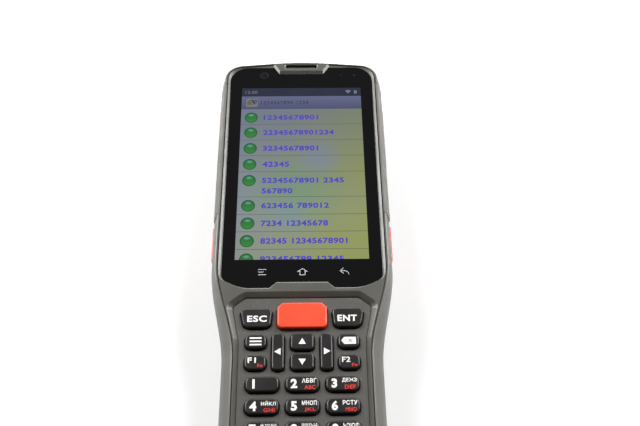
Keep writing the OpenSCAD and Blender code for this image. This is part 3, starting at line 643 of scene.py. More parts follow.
# The hollow inside, by the same insets: at the seam, under the glass, at the keypad and at the back's floor
HOLLOW, HEAD_HOLLOW = (WALL, WALL + 1.6, WALL), (WALL + 2.4, WALL + 1.6, WALL + 1)
PAD_HOLLOW, FLOOR_HOLLOW = (WALL + 2.5, WALL + 3.4, WALL + 1.6), (WALL + 2.4, WALL + 8, WALL + 1.8)

PAD_OUTLINE = mirrored([(PAD_W / 2, PAD_Y0, 7), (PAD_W / 2, PAD_Y1 - 18, 12),
                        (PAD_W / 2 + 2.7, PAD_Y1 - 3.6, 2), (PAD_W / 2 - 1.9, PAD_Y1, 3)])
LIP_SIDE, LIP_TOP, LIP_CORNER = 1.5, 2.2, 1.0


def lip_corner(x, y, r):
    """The recess's brim is wider along the top and at the shoulders."""
    if y > PAD_Y1:
        return x, y + LIP_TOP - LIP_SIDE, r
    return (x + math.copysign(LIP_CORNER, x) if y > PAD_Y1 - 10 else x), y, r


LIP_OUTLINE = [lip_corner(*c) for c in grown(PAD_OUTLINE, LIP_SIDE)]
SLOT = box_corners(14, 2.0, 0.8, 0, TOP_Y - 3.5)
EYE = (14.9 - GLASS_X, GLASS_Y1 - 3.7)
SCREWS = [(HEAD_W / 2 - 10.8, TOP_Y - 9.5), (HEAD_W / 2 - 8.4, SHOULDER_Y - 3.9),
          (GRIP_W / 2 - 11.7, 5.4 - TOP_Y)]
BACK_EYE_X, BACK_EYE_Y = 20, TOP_Y - 22
FLASH_Y = BACK_EYE_Y - 9
STRAP_X, STRAP_Y = 9, TOP_Y - 45.5
CONTACT_X = [4 * i for i in range(-2, 3)]
SADDLE_Y, SADDLE_L, SADDLE_H = TOP_Y - 67.5, 28, 4
SADDLE_R = (SADDLE_L ** 2 / 4 + SADDLE_H ** 2) / (2 * SADDLE_H)
BEZEL_IN, BEZEL_GAP = 1.2, 0.05
SIDE_KEYS = {"right_scan_key": (ACCENT, "accent", 6), "left_scan_key": (ACCENT, "accent", 6),
             "power_key": (KEY, "key"), "volume_key": (KEY, "key")}
SIDE_FLANGE, SIDE_GAP = 0.5, 0.2


def tail_side(y, low=0):
    """All of the body on the tail's side of y, for a cut."""
    return block((-100, 100), (-200, y), (low, 40))


def keypad_recess():
    """The sloped wall round the keypad: straight, then flaring into a rounded brim."""
    flare = [(PAD_Z, 0.0), (PAD_Z + 0.25, 0.08), (PAD_Z + 0.5, 0.22), (BODY_T - 0.25, 0.8),
             (BODY_T - 0.08, 0.93), (BODY_T + 0.02, 1.04), (BODY_T + 0.6, 1.8)]
    a, b = rounded(grown(PAD_OUTLINE, 0.1)), rounded(LIP_OUTLINE)
    return loft_of([at_z(a, PAD_FLOOR)] + [at_z(a + (b - a) * t, z) for z, t in flare])


def bezel_room():
    """The part of the wall that the orange trim takes at the scan end."""
    z0, z1 = BEZEL_LO[2] - BEZEL_GAP, BEZEL_HI[2] + BEZEL_GAP
    obj = mesh("band", *plate(body_ring(-2), z0, z1))
    cut(obj, [plate(body_ring(BEZEL_IN + BEZEL_GAP), z0 - 2, z1 + 2)], [tail_side(BEZEL_LO[1] - BEZEL_GAP)])
    return data_of(obj)


def side_hole(node):
    """The hole in the wall for a side key's cap."""
    lo, hi = box_mm(node)
    side = 1 if hi[0] > 0 else -1
    x = sorted([side * (HEAD_W / 2 - WALL - 1), side * (HEAD_W / 2 + 1)])
    inset = SIDE_FLANGE - SIDE_GAP
    return block(x, (lo[1] + inset, hi[1] - inset), (lo[2] + inset, hi[2] - inset))


def groove_line():
    """The thin groove inside the crest, all round but for the earpiece slot."""
    obj = mesh("groove", *plate(body_ring(*LINE_OUTER), BODY_T - 0.5, BODY_T + 1))
    cut(obj, [plate(body_ring(*LINE_INNER), BODY_T - 3, BODY_T + 3)],
        [block((-12.5, 12.5), (TOP_Y - 20, 200), (0, 41))])
    return data_of(obj)


def plate_side(y, out):
    """The notched plate's slanted side at y, for a share of the way up the slope."""
    return NOTCH_X + NOTCH_LEAN * (y - NOTCH_Y) - 0.12 - 1.25 * out


def rim_dish():
    """The rim's slope down to the glass: wide at the sides, thin at the foot, round the notched plate."""
    rings = []
    for z, out in [(GLASS_Z - 0.04, 0), (BODY_T - 0.05, 0.92), (BODY_T + 0.02, 1.05), (BODY_T + 0.5, 1.6)]:
        foot = grown(GLASS_FOOT + [(GLASS_X, GLASS_Y1, 7)], 0.1 + 0.6 * out)[1:-1]
        x = GLASS_X + 0.12 + (HEAD_W / 2 - RIM_IN - GLASS_X - 0.12) * out
        top = TOP_Y - RIM_TOP_IN - 0.8 * (1 - out) + crest(HEAD_BOW, x)
        wing_y, plate_y = top - 1.16, NOTCH_Y + 0.1 + PLATE_SLOPE * out
        right = [(9.9, GLASS_Y0 + 2.4 - 0.6 * out, 0.8), *foot[:-1], (x, foot[-1][1] + 0.6 * out, 4.5),
                 (x, top - HEAD_BOW, 7.6), (plate_side(wing_y, out), wing_y, 0.5),
                 (plate_side(plate_y, out), plate_y, 0.8)]
        rings.append(at_z(rounded(mirrored(right)), z))
    return loft_of(rings)


def front_shell():
    obj = mesh("front_shell", *loft_of([at_z(body_ring(h, g, e), z) for z, h, g, e in FRONT_SECTION]))
    upper = mesh("upper", *plate(body_ring(*HEAD_HOLLOW), RAIL_LO[2] - 2, DECK_Z))
    cut(upper, [tail_side(SHOULDER_Y - 10)])
    board = stepped(grown(PAD_OUTLINE, -0.9), [(BOARD_LO[2], 0), (PAD_FLOOR + 0.3, 0)])
    panel = footprint(SCREEN_LO, SCREEN_HI, 1, 0.4)
    rail_seat = block((RAIL_X - LINE_W, HEAD_W), (RAIL_LO[1] - 0.2, RAIL_HI[1] + 0.2),
                      (RAIL_LO[2], BODY_T + 1))
    slot = [(DECK_Z - 1, 0), (BODY_T - 0.4, 0), (BODY_T - 0.26, 0.06), (BODY_T + 0.02, 0.6),
            (BODY_T + 0.4, 1.3)]
    cut(obj, [plate(body_ring(*HOLLOW), SEAM_Z - 1, RAIL_LO[2] - 1)], [data_of(upper)],
        [plate(body_ring(*PAD_HOLLOW), RAIL_LO[2] - 2, BOARD_HI[2])],
        [keypad_recess()], [board],
        [stepped(panel, [(DECK_Z - 1, 0), (LEDGE_Z + 0.5, 0)])],
        [stepped(GLASS_OUTLINE, [(LEDGE_Z, 0.1), (BODY_T + 0.5, 0.1)])],
        pair(rail_seat), [side_hole(k) for k in SIDE_KEYS], [bezel_room()],
        [stepped(SLOT, slot, 8), turned(*EYE, [(DECK_Z - 1, 3.1), (LEDGE_Z + 0.3, 3.1)])],
        [rim_dish()], [groove_line()])
    place(shade(obj, 18), SHELL, ROOT, ["front_housing"])


def back_well(x, y, r, depth, n=40):
    """A round well in the back with a rounded edge."""
    return turned(x, y, [(-0.5, r + 1.1), (0, r + 0.35), (0.12, r + 0.12), (0.4, r), (depth, r)], n)


def saddle(r):
    """A round bar across the back, about the middle of the finger saddle's arc."""
    ring = circle(r, 220) + (SADDLE_Y, SADDLE_H - SADDLE_R)
    return loft_of([np.insert(ring, 0, x, axis=1) for x in (-50, 50)])


def hollow_back():
    """The room inside the rear shell, which keeps clear of the saddle."""
    obj = mesh("cavity", *plate(body_ring(*HOLLOW), 6, SEAM_Z + 1))
    cut(obj, [plate(body_ring(*FLOOR_HOLLOW), 2.2, SEAM_Z + 1)], operation="UNION")
    cut(obj, [tail_side(SHOULDER_Y + 6, -5)], [saddle(SADDLE_R + 2.2)])
    return data_of(obj)


def door_wells():
    """The battery door's seat, and the battery's room behind it."""
    edge = [(-0.5, 1), (0, 0.5), (0.15, 0.3), (0.45, 0.2), (DOOR_HI[2], 0.2)]
    cell = block((DOOR_LO[0] + 0.4, DOOR_HI[0] - 0.4), (DOOR_LO[1] + 1.8, DOOR_HI[1] - 3.4),
                 (0.5, SEAM_Z - 0.15))
    return [stepped(footprint(DOOR_LO, DOOR_HI, 4), edge)], [cell]


def speaker_slits():
    lo, hi = box_mm("loudspeaker")
    x, y, _ = (lo + hi) / 2
    edge = [(-0.3, 0.4), (0, 0.15), (0.2, 0), (3.5, 0)]
    return [stepped(box_corners(1, 8, 0.45, x + 2 * i, y), edge, 5) for i in range(-3, 4)]


def window_wells():
    """The scan window's seat in the end wall, and the light's way behind it."""
    lo, hi = box_mm("scan_window")
    seat = block((-hi[0] - 0.1, hi[0] + 0.1), (lo[1], TOP_Y + 1), (lo[2] - 0.1, hi[2] + 0.1))
    way = block((1.1 - hi[0], hi[0] - 1.1), (TOP_Y - 12, TOP_Y + 1), (lo[2] + 0.9, hi[2] - 0.9))
    return [seat], [way]


def port_wells():
    """The port flap's seat in the end wall, and the socket's hole behind it."""
    lo, hi = box_mm("port_flap")
    seat = block((lo[0] - 0.2, hi[0] + 0.2), (-TOP_Y - 1, hi[1] + 0.1), (lo[2] - 0.1, hi[2] + 0.1))
    flap_y = hi[1]
    lo, hi = box_mm("usb_socket")
    return [seat], [block((lo[0] - 0.05, hi[0] + 0.05), (flap_y, hi[1]), (lo[2], hi[2]))]


def rear_shell():
    section = softened(REAR_SECTION, 2)
    obj = mesh("rear_shell", *loft_of([at_z(body_ring(h, g, e), z) for z, h, g, e in section]))
    cut(obj, [saddle(SADDLE_R)], [hollow_back()], *door_wells(),
        [p for x, y in SCREWS for p in pair(back_well(x, y, 2.1, 2.6))],
        pair(back_well(STRAP_X, STRAP_Y, 1.25, 5, 24)),
        [back_well(BACK_EYE_X, BACK_EYE_Y, 3.5, 1.4), back_well(BACK_EYE_X, FLASH_Y, 1.9, 1.4)],
        speaker_slits(), [back_well(x, DOOR_LO[1] - 5.5, 1.25, 2.4, 28) for x in CONTACT_X],
        [bezel_room()], *window_wells(), *port_wells(), [room("io_board", 0.05)])
    place(shade(obj, 28), SHELL, ROOT, ["rear_housing"])


def rails():
    """The side rails, in the shell's own section but a little prouder, with rounded ends."""
    rows = [r for r in FRONT_SECTION if r[0] > RAIL_LO[2] + 0.3]
    prouder = 1 + RAIL_OUT / LINE_IN
    outer = [(RAIL_X + (LINE_IN - r[1]) * prouder, r[0]) for r in rows]
    foot_x, foot_z, top_z = HEAD_W / 2 + RAIL_OUT, RAIL_LO[2], outer[-1][1]
    profile = np.array([(RAIL_X, foot_z), (foot_x - 0.3, foot_z), (foot_x - 0.08, foot_z + 0.25), *outer,
                        (RAIL_X + 0.08, top_z - 0.01), (RAIL_X, top_z - 0.09)])
    mid = profile.mean(axis=0)
    ends = [(RAIL_LO[1], 0.96), (RAIL_LO[1] + 0.25, 1), (RAIL_HI[1] - 0.25, 1), (RAIL_HI[1], 0.96)]
    right = loft_of([np.insert(mid + (profile - mid) * share, 1, y, axis=1) for y, share in ends])
    piece("right_rail_trim", [right], RAIL, replaces=["right_rail"], angle=28)
    piece("left_rail_trim", [mirror(right)], RAIL, replaces=["left_rail"], angle=28)


def lugs():
    """Bosses for a pistol grip on both walls."""
    y, z = RAIL_LO[1] + 4, SEAM_Z + 4
    levels = [(-0.2, 1.4), (0.3, 1.4), (0.45, 1.3), (0.49, 1.15), (0.49, 0.75), (0.42, 0.62), (-0.15, 0.6)]
    rings = [np.insert(circle(r, 32) + (y, z), 0, HEAD_W / 2 + t, axis=1) for t, r in levels]
    piece("accessory_lugs", pair(loft_of(rings)), RAIL, angle=40)


def scan_end():
    """The orange trim round the scan end, with the window in it."""
    z0, z1 = BEZEL_LO[2], BEZEL_HI[2]
    edge = [(0, 0.12), (0.12, -0.08), (0.4, -0.25)]
    rows = [(z0 + up, inset) for up, inset in edge] + [(z1 - down, inset) for down, inset in edge[::-1]]
    obj = mesh("scan_trim", *loft_of([at_z(body_ring(inset), z) for z, inset in rows]))
    lo, hi = box_mm("scan_window")
    hole = box_corners(hi[0] - lo[0] + 0.2, hi[2] - lo[2] + 0.2, 0.8, 0, (lo[2] + hi[2]) / 2)
    flare = [(TOP_Y - 12, 0), (TOP_Y - 0.2, 0), (TOP_Y + 0.05, 0.12), (TOP_Y + 0.3, 0.45), (TOP_Y + 1, 1.5)]
    rings = [np.insert(rounded(grown(hole, g) if g else hole, 6), 1, y, axis=1) for y, g in flare]
    cut(obj, [plate(body_ring(BEZEL_IN), z0 - 2, z1 + 2)], [tail_side(BEZEL_LO[1])], [loft_of(rings)])
    place(shade(obj, 28), ACCENT, ROOT, ["scan_bezel"])
    dressed("scan_window", WINDOW, 0.2)


# --- Screen ---
# The lit screen's thin layers on the glass. Then its list, in heights above the screen's lower edge: lines,
# round buttons, and words with their widths
LAYER_Z = [GLASS_Z + 0.012 * k for k in range(5)]
ROW_LINES = [66.8, 58.3, 50.1, 41.8, 29.3, 20.8, 12.7, 4.6]
BUTTON_ROWS = [70.5, 62.3, 53.9, 45.6, 37.4, 25.0, 16.6, 8.4, 0]
WORDS = [(70.5, "12345678901", 23.6), (62.3, "22345678901234", 30.2), (53.9, "32345678901", 23.4),
         (45.6, "42345", 11.2), (37.4, "52345678901 2345", 33.8), (32.2, "567890", 12.6),
         (25.0, "623456 789012", 27.4), (16.6, "7234 12345678", 26.9), (8.4, "82345 12345678901", 34.4)]
LAST_WORD = (0.2, "923456789 12345", 32.8)
WORD_X, WORD_H, WORD_BOLD = -16.4, 2.75, 0.035
BUTTON_X, BUTTON_R = -21.7, 2.8


def cover():
    edge = [(LEDGE_Z, -0.1), (LEDGE_Z + 0.1, 0), (GLASS_Z - 0.22, 0), (GLASS_Z - 0.06, -0.07),
            (GLASS_Z, -0.24)]
    piece("cover_glass_black", [stepped(GLASS_OUTLINE, edge)], GLASS, replaces=["cover_glass"])


def screen_ground():
    """The list's wallpaper, the two bars above it and the lines between its rows."""
    x, z = (-LIT_W / 2, LIT_W / 2), (LAYER_Z[0] - 0.05, LAYER_Z[1])
    piece("screen_rows", [block(x, (LIT_Y0, TITLE_Y), z)], WALLPAPER)
    piece("screen_title_bar", [block(x, (TITLE_Y, STATUS_Y), z)], TITLE)
    piece("screen_status_bar", [block(x, (STATUS_Y, LIT_Y1), z)], STATUS)
    lines = [block(x, (LIT_Y0 + y - 0.12, LIT_Y0 + y + 0.12), LAYER_Z[1:3]) for y in ROW_LINES]
    piece("screen_lines", lines, SCREEN_LINE)


def list_word(y, word, width):
    return lettering(word, WORD_H, WORD_X, LIT_Y0 + y, LAYER_Z[2:4], WORD_BOLD, 0.0, width)


def screen_words():
    """Rows of plain digits; the screen's lower edge cuts the last."""
    piece("screen_words", [list_word(*row) for row in WORDS], SCREEN_TEXT)
    low = mesh("screen_last_word", *list_word(*LAST_WORD))
    cut(low, [tail_side(LIT_Y0)])
    place(low, SCREEN_TEXT)


def screen_buttons():
    """The round buttons, each about its own middle; the screen's lower edge cuts the last."""
    z = [top - GLASS_Z for top in LAYER_Z[2:4]]
    for i, y in enumerate(BUTTON_ROWS):
        ring = circle(BUTTON_R, 48)
        if y == 0:
            ring = ring[ring[:, 1] >= -1e-9]
        obj = mesh(f"screen_button_{i + 1}", *plate(ring, *z))
        obj.location = Vector((BUTTON_X, LIT_Y0 + y, GLASS_Z)) * MM
        place(obj, BUTTON)


def title_bar():
    """A small picture of a hill and a ring on a tile, and a word of digits."""
    x, y, z = -21.6, (TITLE_Y + STATUS_Y) / 2, LAYER_Z
    tile = box_corners(5.2, 4.6, 0.8, x, y)
    piece("screen_icon_tile", [stepped(tile, [(z[2], 0), (z[3], -0.02)], 4)], SCREEN_ICON)
    hill = np.array([(-2.1, -1.2), (0.3, -1.2), (-0.2, 0.4), (-1.1, 1.6), (-1.9, 0.9)]) + (x, y)
    piece("screen_icon_hill", [plate(hill, *z[3:5])], SCREEN_OLIVE)
    ring = ribbon(circle(0.62, 20) + (x + 1.3, y + 0.8), 0.4, z[3:5], True)
    slant = np.array([(-0.6, 1.6), (0.1, 1.8), (1.5, -0.7), (1.0, -0.9)]) + (x, y)
    piece("screen_icon_sun", [ring, plate(slant, *z[3:5])], SCREEN_DIM)
    word = lettering("1234567890 1234", 1.9, x + 4, y, z[2:4])
    piece("screen_title_word", [word], SCREEN_DIM)


def status_bar():
    """A plain clock, a fan and a block."""
    y, z = (STATUS_Y + LIT_Y1) / 2, LAYER_Z[2:4]
    clock = lettering("12:00", 1.7, -24.6, y, z)
    fan = np.array([(-1.3, 0.6), (0, -1), (1.3, 0.6), (0.7, 1), (-0.7, 1)]) + (20.6, y)
    marks = [clock, plate(fan, *z), block((23.2, 24.4), (y - 1, y + 0.8), z)]
    piece("screen_status_marks", marks, SCREEN_PALE)


def touch_marks():
    """The marks of the touch keys below the screen: menu, home and back."""
    z = (GLASS_Z - 0.02, GLASS_Z + 0.02)
    y, line_w, size = LIT_Y0 - 5.5, 0.32, 0.8
    menu_x, home_x, back_x = -16.9, 0.2, 16.5
    menu = [block((menu_x, menu_x + length), (y + up - line_w / 2, y + up + line_w / 2), z)
            for up, length in ((1.15, 3.1), (0, 2.1), (-1.15, 3.1))]
    home = [(-1.25, -1.7), (1.25, -1.7), (1.25, 0.2), (2.1, 0.2), (0, 1.75), (-2.1, 0.2), (-1.25, 0.2)]
    tip = [(-0.6, 1.9), (-2.2, 0.35), (-0.6, -1.15)]
    tail = [(-2.0, 0.35), (-0.6, 0.35)]
    tail += [(-0.4 + 2.3 * math.sin(t), -1.55 + 1.9 * math.cos(t)) for t in np.linspace(0, math.pi / 2, 9)]
    marks = [(home, True, home_x), (tip, False, back_x), (tail, False, back_x)]
    lines = [ribbon(np.array(p) * size + (x, y), line_w, z, closed) for p, closed, x in marks]
    piece("touch_marks", menu + lines, GREY_INK)


def notch_shade_strip():
    """Painted shade: a dark strip on the notched plate's slope to the glass, darkening the slope as if it
    lay in shadow.
    """
    rings = []
    for y, z, half in [(0.12, GLASS_Z - 0.02, 9.5), (0.1 + 0.9 * PLATE_SLOPE, BODY_T - 0.04, 9.4)]:
        section = [(-half, -0.3), (half, -0.3), (half, 0.02), (-half, 0.02)]
        rings.append(np.array([(x, NOTCH_Y + y, z + up) for x, up in section]))
    # The strip's dark colour is painted shade, not a part of the housing.
    piece("notch_shade_strip", [loft_of(rings)], DARK)


def eyes():
    """The front camera's ring and lens, and two sensors, on the glass."""
    x, y = EYE
    z = GLASS_Z
    piece("front_eye_ring", [turned(x, y, [(z - 0.02, 1.95), (z + 0.015, 1.9)])], EYE_RING)
    piece("front_eye_lens", [turned(x, y, [(z, 1.1), (z + 0.03, 1.0)])], LENS)
    dots = [turned(dot_x, y + 0.1, [(z - 0.02, r), (z + 0.015, r)], 24)
            for dot_x, r in ((17.75, 0.45), (23.6, 0.6))]
    piece("sensor_dots", dots, EYE_RING)


def earpiece():
    lo, hi = box_mm("earpiece_mesh")
    weave = [block((x, x + 0.22), (lo[1] + 0.1, hi[1] - 0.1), (hi[2] - 0.1, hi[2] + 0.05))
             for x in np.arange(lo[0] + 0.7, hi[0] - 0.7, 0.5)]
    piece("earpiece_weave", weave, STEEL)
    back = stepped(footprint(lo, hi, 0.7), [(lo[2], 0), (hi[2] - 0.1, 0)], 6)
    piece("earpiece_back", [back], DARK, replaces=["earpiece_mesh"])


# --- Keypad ---
# Outlines of the caps, about their middles, and then the middles
DIGIT = box_corners(12.1, 5.9, 2.2)
SMALL = box_corners(7.9, 5.8, 2.0)
NAV_SIDE = box_corners(4.7, 14.4, 1.4)
NAV_MID = box_corners(8.7, 6.6, 1.6)
ENTER = [(-5, -3.6, 2.2), (5, -3.6, 2.4), (6.4, 2.9, 1.1), (5, 4.3, 1.1), (-5.8, 4.3, 1.9)]
SCAN = mirrored([(9.4, -5.2, 2), (9.4, 3.2, 1.4), (7.4, 5.2, 1.4)])
NAV_Y = PAD_Y1 - 22.3
DIGIT_DX, DIGIT_DY, DIGIT_Y = 14.4, 8.3, PAD_Y1 - 34.65
KEYS = {"scan_key": (SCAN, 0, PAD_Y1 - 7.8), "ent_key": (ENTER, 16.8, PAD_Y1 - 9.1),
        "esc_key": (flipped(ENTER), -16.8, PAD_Y1 - 9.1), "down_key": (NAV_MID, 0, NAV_Y - 3.9),
        "up_key": (NAV_MID, 0, NAV_Y + 3.9), "left_key": (NAV_SIDE, -8.9, NAV_Y),
        "right_key": (NAV_SIDE, 8.9, NAV_Y), "f1_key": (SMALL, -17.1, NAV_Y - 4.1),
        "menu_key": (SMALL, -17.1, NAV_Y + 4.1), "f2_key": (SMALL, 17.1, NAV_Y - 4.1),
        "backspace_key": (SMALL, 17.1, NAV_Y + 4.1)}
DIGITS = [*"123456789", "star", "0", "hash"]
for i, digit in enumerate(DIGITS):
    KEYS["key_" + digit] = (DIGIT, (i % 3 - 1) * DIGIT_DX, DIGIT_Y - i // 3 * DIGIT_DY)
PLUNGER, FLANGE_T, FLANGE_W, KEY_GAP = 0.4, 0.6, 0.5, 0.2
FIRST_LETTER = 0x410
LETTERS = dict(zip("23456789", ["ABC", "DEF", "GHI", "JKL", "MNO", "PQRS", "TUV", "WXYZ"]))
OTHER_LETTERS = {key: "".join(chr(FIRST_LETTER + 4 * k + i) for i in range(4))
                 for k, key in enumerate(LETTERS)}


def keypad_panel():
    levels = [(PAD_FLOOR, 0), (PAD_Z - 0.2, 0), (PAD_Z - 0.06, -0.06), (PAD_Z, -0.2)]
    obj = mesh("keypad_plate", *stepped(PAD_OUTLINE, levels))
    hole = [(PAD_FLOOR - 1, KEY_GAP), (PAD_Z - 0.22, KEY_GAP), (PAD_Z - 0.08, 0.25), (PAD_Z + 0.02, 0.42)]
    cut(obj, [stepped(moved(c, x, y), hole, 7) for c, x, y in KEYS.values()])
    place(shade(obj, 28), PANEL, ROOT, ["keypad_panel"])


def key_cap(node):
    """A key with its flange and plunger. Gives the place and the heights of its marks."""
    corners, x, y = KEYS[node]
    lo, hi = box_mm(node)
    flange_z, top = lo[2] + PLUNGER, hi[2]
    cap_z = flange_z + FLANGE_T
    outline = moved(corners, x, y)
    flange = stepped(outline, [(flange_z, FLANGE_W), (cap_z, FLANGE_W)], 5)
    cap = stepped(outline, [(cap_z, 0), (top - 0.75, 0), (top - 0.5, -0.04), (top - 0.3, -0.14),
                            (top - 0.14, -0.3), (top - 0.04, -0.52), (top, -0.8)], 7)
    plunger = turned(x, y, [(lo[2], 1.1), (flange_z, 1.2)], 24)
    scan = node == "scan_key"
    piece(node + "_cap", [flange, cap, plunger], ACCENT if scan else KEY, node,
          [node], angle=45)
    return x, y, (top - 0.01, top + 0.02)


def legends(node, x, y, z):
    """The key's printed marks: white, and red where it has a second use."""
    white, red = [], []
    name = node.replace("key_", "")

    def mark(text, height, right, up, bold, width=None):
        return lettering(text, height, x + right, y + up, z, bold, 0.5, width)

    if name in DIGITS:
        sign = {"star": "*", "hash": "#"}.get(name, name)
        white.append(mark(sign, 2.2 if name == "star" else 3.5, -3.0, 0, 0.045))
        if name in LETTERS:
            wide = 1.4 * len(LETTERS[name]) - 0.2
            red.append(mark(LETTERS[name], 1.55, 2.7, -1.4, 0.022, min(wide, 4.9)))
            white.append(mark(OTHER_LETTERS[name], 1.7, 2.4, 1.1, 0.024, 5.2))
    elif node in ("ent_key", "esc_key"):
        white.append(mark(node[:3].upper(), 2.6, 0, 0, 0.03, 7.3))
    elif node in ("f1_key", "f2_key"):
        white.append(mark(node[:2].upper(), 2.1, -1.2, 0.8, 0.02, 3.0))
        red.append(mark("Fn", 1.3, 1.8, -1.3, 0.02, 1.9))
    elif node == "menu_key":
        white += [block((x - 2.2, x + 2.2), (y + d - 0.3, y + d + 0.3), z) for d in (1.3, 0, -1.3)]
    elif node == "backspace_key":
        outline = np.array([(-2.8, 0), (-1.7, -1.4), (2.6, -1.4), (2.6, 1.4), (-1.7, 1.4)]) + (x, y)
        arrow = mesh("arrow", *plate(outline, *z))
        for s in (-1, 1):
            stroke = [(x + 0.5 - s * 0.6, y - 0.6), (x + 0.5 + s * 0.6, y + 0.6)]
            cut(arrow, [ribbon(stroke, 0.22, (z[0] - 1, z[1] + 1))])
        white.append(data_of(arrow))
    elif node != "scan_key":
        a = math.radians({"up_key": 90, "left_key": 180, "down_key": 270}.get(node, 0))
        spin = np.array([(math.cos(a), math.sin(a)), (-math.sin(a), math.cos(a))])
        white.append(plate(np.array([(1.35, 0), (-1.0, 1.35), (-1.0, -1.35)]) @ spin + (x, y), *z))
    if white:
        piece(node + "_mark", white, WHITE_INK, node)
    if red:
        piece(node + "_second", red, RED_INK, node)


# --- Side keys and the back ---
RIB_STEP = 1.5


def side_cap(node, material, slot, ribs=0):
    """A key in the side wall: the flange behind it and a rounded cap that stands out, ribbed or plain."""
    lo, hi = box_mm(node)
    side = 1 if hi[0] > 0 else -1
    x0, x1 = (lo[0], hi[0]) if side > 0 else (-hi[0], -lo[0])
    _, mid_y, mid_z = (lo + hi) / 2
    length, height = hi[1] - lo[1], hi[2] - lo[2]

    def ring(w, h, r, x):
        return np.insert(rounded(box_corners(w, h, r), 7) + (mid_y, mid_z), 0, x, axis=1)

    flange = loft_of([ring(length, height, 1, x) for x in (x0, x0 + FLANGE_T)])
    rows = [(x0 + FLANGE_T, 0), (x1 - 0.5, 0), (x1 - 0.28, 0.06), (x1 - 0.12, 0.18), (x1 - 0.03, 0.36),
            (x1, 0.6)]
    cap_l, cap_h = length - 2 * SIDE_FLANGE, height - 2 * SIDE_FLANGE
    cap = loft_of([ring(cap_l - 2 * d, cap_h - 2 * d, max(0.5, 1.2 - d), x) for x, d in rows])
    parts = [flange, cap]
    obj = mesh(node + "_cap", *merged(parts if side > 0 else [mirror(p) for p in parts]))
    if ribs:
        x = sorted([side * (x1 - 0.22), side * (x1 + 1)])
        grooves = [mid_y + (i - ribs / 2 + 0.5) * RIB_STEP for i in range(ribs)]
        cut(obj, [block(x, (y - 0.25, y + 0.25), (lo[2] + 1.2, hi[2] - 1.2)) for y in grooves])
    place(shade(obj, 40), material, node, [node])


def screws():
    """The housing screws with their cross slots, and the strap inserts."""
    parts = []
    arm, half_w, slot_z = 1.15, 0.24, (0, 2.1)
    for x, y in [(side * x, y) for x, y in SCREWS for side in (1, -1)]:
        head = mesh("head", *turned(x, y, [(2.6, 2), (1.5, 2), (1.28, 1.9), (1.2, 1.6)], 32))
        cut(head, [block((x - arm, x + arm), (y - half_w, y + half_w), slot_z)],
            [block((x - half_w, x + half_w), (y - arm, y + arm), slot_z)])
        parts += [data_of(head), turned(x, y, [(2.6, 1), (SEAM_Z + 6, 1)], 24)]
    piece("cross_head_screws", parts, STEEL, replaces=["housing_screws"], angle=30)
    tube = [(4.9, 1.24), (0.9, 1.24), (0.8, 1.1), (0.8, 0.95), (4.8, 0.9)]
    inserts = [turned(x, STRAP_Y, tube, 32) for x in (STRAP_X, -STRAP_X)]
    piece("strap_inserts", inserts, GOLD, angle=30)


def back_lenses():
    """The rear camera's ring and lens, and the flash's lens."""
    x, y = BACK_EYE_X, BACK_EYE_Y
    ring = [(1.4, 3.4), (0.5, 3.4), (0.4, 3.25), (0.4, 2.8), (0.55, 2.65), (1.3, 2.6)]
    piece("camera_ring", [turned(x, y, ring)], ALLOY, replaces=["rear_lenses"], angle=30)
    dome = [(1.35, 2.6), (0.8, 2.6), (0.72, 1.8), (0.66, 0.9), (0.64, 0.2)]
    piece("camera_lens", [turned(x, y, dome)], LENS, angle=20)
    flash = [(1.4, 1.8), (0.6, 1.8), (0.45, 1.6), (0.4, 1.0), (0.38, 0.2)]
    piece("flash_lens", [turned(x, FLASH_Y, flash)], FLASH, angle=20)


def contacts():
    lo, hi = box_mm("charge_contacts")
    dome = [(hi[2], 1.2), (lo[2] + 0.3, 1.2), (lo[2] + 0.08, 1.0), (lo[2], 0.5), (lo[2], 0.1)]
    pads = [turned(x, (lo[1] + hi[1]) / 2, dome, 32) for x in CONTACT_X]
    piece("contact_pads", pads, GOLD, replaces=["charge_contacts"], angle=30)


# --- Light, floor and camera ---
FLOOR_R, FLOOR_T = 4000, 4


def world():
    """A pale studio: bright low down at the sides and the back, dim overhead and at the front."""
    around = bpy.data.worlds.new("studio")
    s = Shader(around, "Background")
    _, y, z = s.axes("Generated")
    upwards, backwards = s.spread(z, 0.06, 0.42, 1.0, 0.16), s.spread(y, -0.45, 0.15, 0.25, 1.0)
    s.put({"Strength": s.math("MULTIPLY", upwards, backwards), "Color": (1.0, 0.99, 0.97, 1)})
    bpy.context.scene.world = around


def area_light(name, location, size, power):
    """A soft box that faces the frame's origin. Its place and size are in metres."""
    data = bpy.data.lights.new(name, "AREA")
    data.shape, data.size, data.size_y, data.energy = "RECTANGLE", size[0], size[1], power
    obj = linked(name, data)
    obj.location = location
    obj.rotation_mode = "QUATERNION"
    obj.rotation_quaternion = (-Vector(location)).to_track_quat("-Z", "Y")


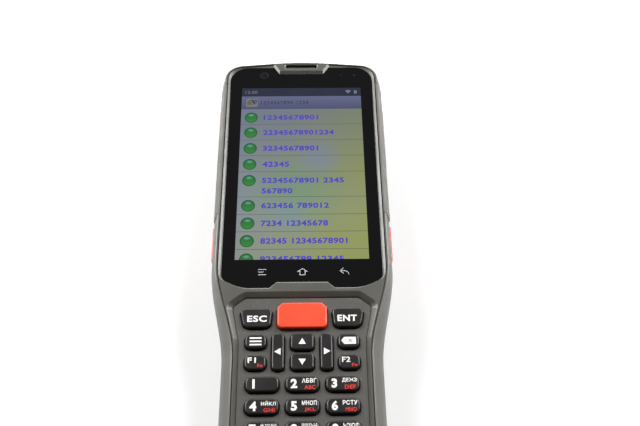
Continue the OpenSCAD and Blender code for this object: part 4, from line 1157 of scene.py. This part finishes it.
def studio():
    """The surroundings, three soft boxes and a pale floor."""
    world()
    area_light("left_box", (-0.7, 0.6, 0.77), (0.45, 0.6), 15)
    area_light("right_box", (0.7, 0.6, 0.77), (0.45, 0.6), 15)
    area_light("back_box", (0, 1.1, 0.17), (1.4, 0.2), 7)
    white = bpy.data.materials.new("floor_white")
    s = Shader(white)
    pale = s.mix((0.9, 0.9, 0.9, 1), (0.94, 0.94, 0.94, 1), s.spread(s.noise(90), 0.3, 0.7, 0.0, 1.0))
    s.put({"Base Color": pale, "Roughness": 0.9, "Emission Color": (1, 1, 1, 1), "Emission Strength": 0.15})
    floor = mesh("floor", *plate(circle(FLOOR_R, 96), -FLOOR_T, 0))
    floor.data.materials.append(white)


# The camera, fitted to the screen's corners, list rows and round icons in the photograph
CAMERA_AT = (2.54, -170.66, 317.53)
CAMERA_RIGHT, CAMERA_UP = (0.9999, -0.0142, 0.0073), (0.008, 0.8422, 0.5391)
CAMERA_BACK = (-0.0138, -0.539, 0.8422)
FOCAL_LENGTH, SENSOR_W = 48.39, 36


def camera():
    data = bpy.data.cameras.new("camera")
    data.lens, data.sensor_width, data.clip_start = FOCAL_LENGTH, SENSOR_W, 0.01
    obj = linked("camera", data)
    turn = Matrix((CAMERA_RIGHT, CAMERA_UP, CAMERA_BACK)).transposed().to_4x4()
    obj.matrix_world = Matrix.Translation(Vector(CAMERA_AT) * MM) @ turn
    bpy.context.scene.camera = obj


def insides():
    """The CAD nodes inside, which keep their shapes."""
    finish = {DARK: "scan_engine earpiece front_camera rear_camera loudspeaker", GLASS: "display_panel",
              ALLOY: "mid_frame", BOARD: "main_board keypad_board io_board", CELL: "battery",
              STEEL: "shield_cans vibration_motor usb_socket", RUBBER: "side_switches key_seal housing_seal"}
    for material, nodes in finish.items():
        for node in nodes.split():
            data = frame["nodes"][node].data
            data.materials.clear()
            data.materials.append(material)


front_shell()
rear_shell()
rails()
lugs()
scan_end()
cover()
screen_ground()
screen_words()
screen_buttons()
title_bar()
status_bar()
touch_marks()
notch_shade_strip()
eyes()
earpiece()
keypad_panel()
for key in KEYS:
    legends(key, *key_cap(key))
for key, finish in SIDE_KEYS.items():
    side_cap(key, *finish)
dressed("battery_door", SHELL, 0.2)
dressed("door_latch", RUBBER, 0.12)
dressed("port_flap", RUBBER, 0.15)
screws()
back_lenses()
contacts()
insides()
studio()
camera()
bpy.context.scene.view_settings.view_transform = "Standard"
